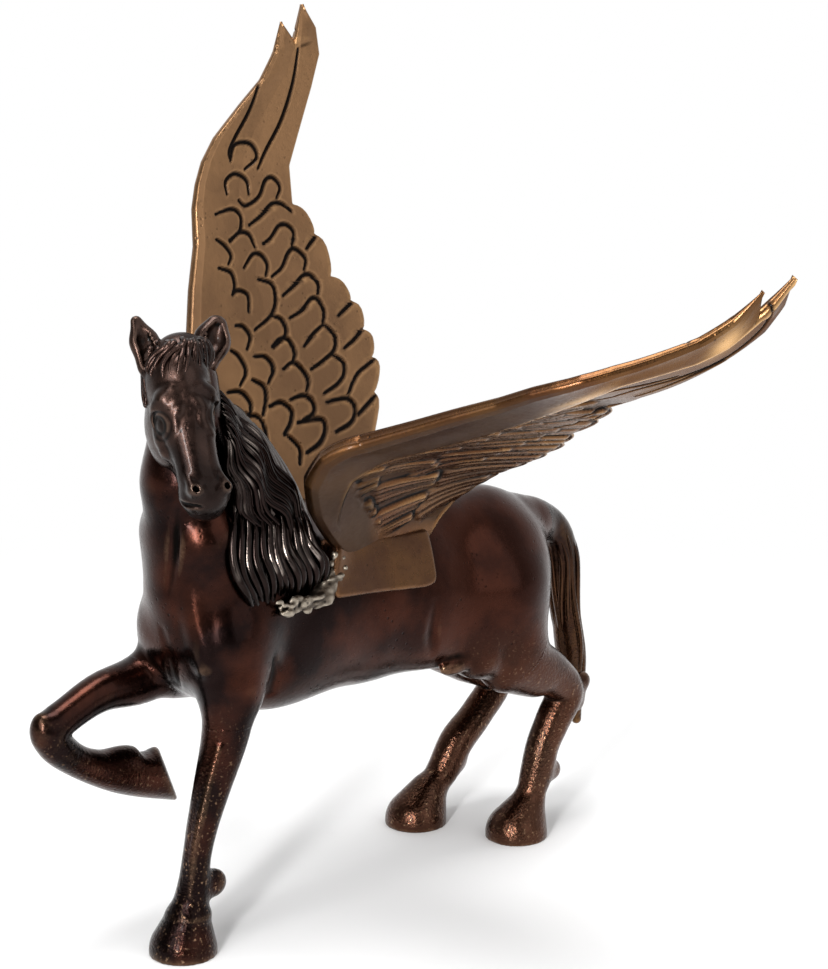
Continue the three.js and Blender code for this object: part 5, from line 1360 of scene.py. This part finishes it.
# %% Solder
on_pad = lambda x, y, z: [x * WIDTH, PAD_Y - PAD_SIZE[0] / 2 + y, PAD_Z + z]
SMEAR = np.array([[21.0, -36.3, 98.0], [20.6, -31.4, 97.7], [20.2, -26.3, 97.0], [19.8, -21.1, 97.2],
                  [19.2, -17.0, 98.9], [18.2, -14.5, 101.6], [17.2, -12.5, 104.7], [15.6, -11.0, 107.0]])
solder_lumps = [
    ball(on_pad(0.474, -5, -2), [3.0, 4.8, 3.8], 2),
    tube([(spot, r) for spot, r in zip(SMEAR, (0.7, 1.3, 1.7, 2.3, 2.6, 2.2, 1.7, 0.8))], 1.5, 16),
]
for spot in smooth_line(SMEAR, 60):
    place = spot + RANDOM.uniform(-1, 1, 3) * [0.8, 2.2, 2.2] + [1.2, 0, 0]
    solder_lumps.append(ball(list(place), RANDOM.uniform(0.4, 1.3, 3) * [1, 1.5, 1], 0.9))
points, faces = skin(solder_lumps, 0.45)
solder = to_object("solder_patch", points, faces, SOLDER, scale=0.1)
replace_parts(solder, "left_wing_solder")

# %% [markdown]
# ## Camera, floor and light
#
# The camera stands a metre away with a long lens, a little above the horse and to its front left, where
# the picture was taken from. The floor is pale and the room is a soft white one: to the camera the
# world is white, while the metal mirrors a dimmer room with a few large lamps in it.

# %% Camera
camera = bpy.data.objects.new("camera", bpy.data.cameras.new("camera"))
bpy.context.scene.collection.objects.link(camera)
bpy.context.scene.camera = camera
camera.location = Vector(metres([656.66, -577.57, 365.36]))
target = Vector(metres([-5.80, 40.20, 114.16]))
camera.rotation_euler = (target - camera.location).to_track_quat("-Z", "Y").to_euler()
camera.data.sensor_fit = "HORIZONTAL"
camera.data.sensor_width = 36
camera.data.lens = 3102 / 828 * 36
camera.data.clip_end = 20

# %% Floor
floor_mesh = bpy.data.meshes.new("floor")
floor_mesh.from_pydata([(-30, -30, 0), (30, -30, 0), (30, 30, 0), (-30, 30, 0)], [], [(0, 1, 2, 3)])
floor = bpy.data.objects.new("floor", floor_mesh)
bpy.context.scene.collection.objects.link(floor)
paper = bpy.data.materials.new("white_paper_matt")
paper.use_nodes = True
tree = paper.node_tree
tree.nodes.clear()
rays = add(tree, "ShaderNodeLightPath")
seen = add(tree, "ShaderNodeMath", {0: rays.outputs["Is Camera Ray"], 1: rays.outputs["Is Glossy Ray"]},
           operation="MAXIMUM")
seen = add(tree, "ShaderNodeMath", {0: seen.outputs[0], 1: rays.outputs["Is Transmission Ray"]},
           operation="MAXIMUM")
spot = add(tree, "ShaderNodeTexCoord").outputs["Object"]
far = add(tree, "ShaderNodeVectorMath", {0: spot}, operation="LENGTH")
far = add(tree, "ShaderNodeMapRange", {"Value": far.outputs["Value"], "From Min": 0.16, "From Max": 0.42},
          interpolation_type="SMOOTHSTEP")
share = add(tree, "ShaderNodeMath", {0: seen.outputs[0], 1: far.outputs["Result"]}, operation="MULTIPLY")
matt = add(tree, "ShaderNodeBsdfPrincipled", {"Base Color": colour("#f6f6f6"), "Roughness": 0.9})
glow = add(tree, "ShaderNodeEmission", {"Strength": 1.0})
both = add(tree, "ShaderNodeMixShader", {0: share.outputs[0], 1: matt.outputs[0], 2: glow.outputs[0]})
out = add(tree, "ShaderNodeOutputMaterial", {"Surface": both.outputs[0]})
floor_mesh.materials.append(paper)

# %% Room
world = bpy.data.worlds.new("room")
bpy.context.scene.world = world
world.use_nodes = True
tree = world.node_tree
tree.nodes.clear()
look = add(tree, "ShaderNodeTexCoord").outputs["Generated"]
toward = add(tree, "ShaderNodeVectorMath", {0: look, 1: (0.5, -0.866, 0.0)}, operation="DOT_PRODUCT").outputs["Value"]
level = add(tree, "ShaderNodeMapRange", {"Value": toward, "From Min": -0.7, "From Max": 0.5, "To Min": 0.85,
                                         "To Max": 0.16}, interpolation_type="SMOOTHSTEP")
sky = add(tree, "ShaderNodeBackground", {"Color": colour("#ffffff"), "Strength": level.outputs["Result"]})
out = add(tree, "ShaderNodeOutputWorld", {"Surface": sky.outputs[0]})


def lamp(name, place, aim, size, power):
    light = bpy.data.lights.new(name, "AREA")
    light.shape, light.size, light.size_y, light.energy = "RECTANGLE", size[0], size[1], power
    thing = bpy.data.objects.new(name, light)
    bpy.context.scene.collection.objects.link(thing)
    thing.location = place
    thing.rotation_euler = (Vector(aim) - Vector(place)).to_track_quat("-Z", "Y").to_euler()
    return thing


lamp("key", (0.15, -0.95, 0.75), (0, 0, 0.12), (0.45, 0.9), 4)
lamp("side", (1.1, 0.1, 0.7), (0, 0, 0.12), (1.0, 1.2), 4)
lamp("strip", (0.5, -0.95, 0.45), (0, 0, 0.12), (0.1, 0.55), 10)
lamp("top", (-0.1, 0.0, 1.2), (0, 0, 0.12), (0.5, 0.5), 8)
bpy.context.scene.view_settings.view_transform = "Standard"
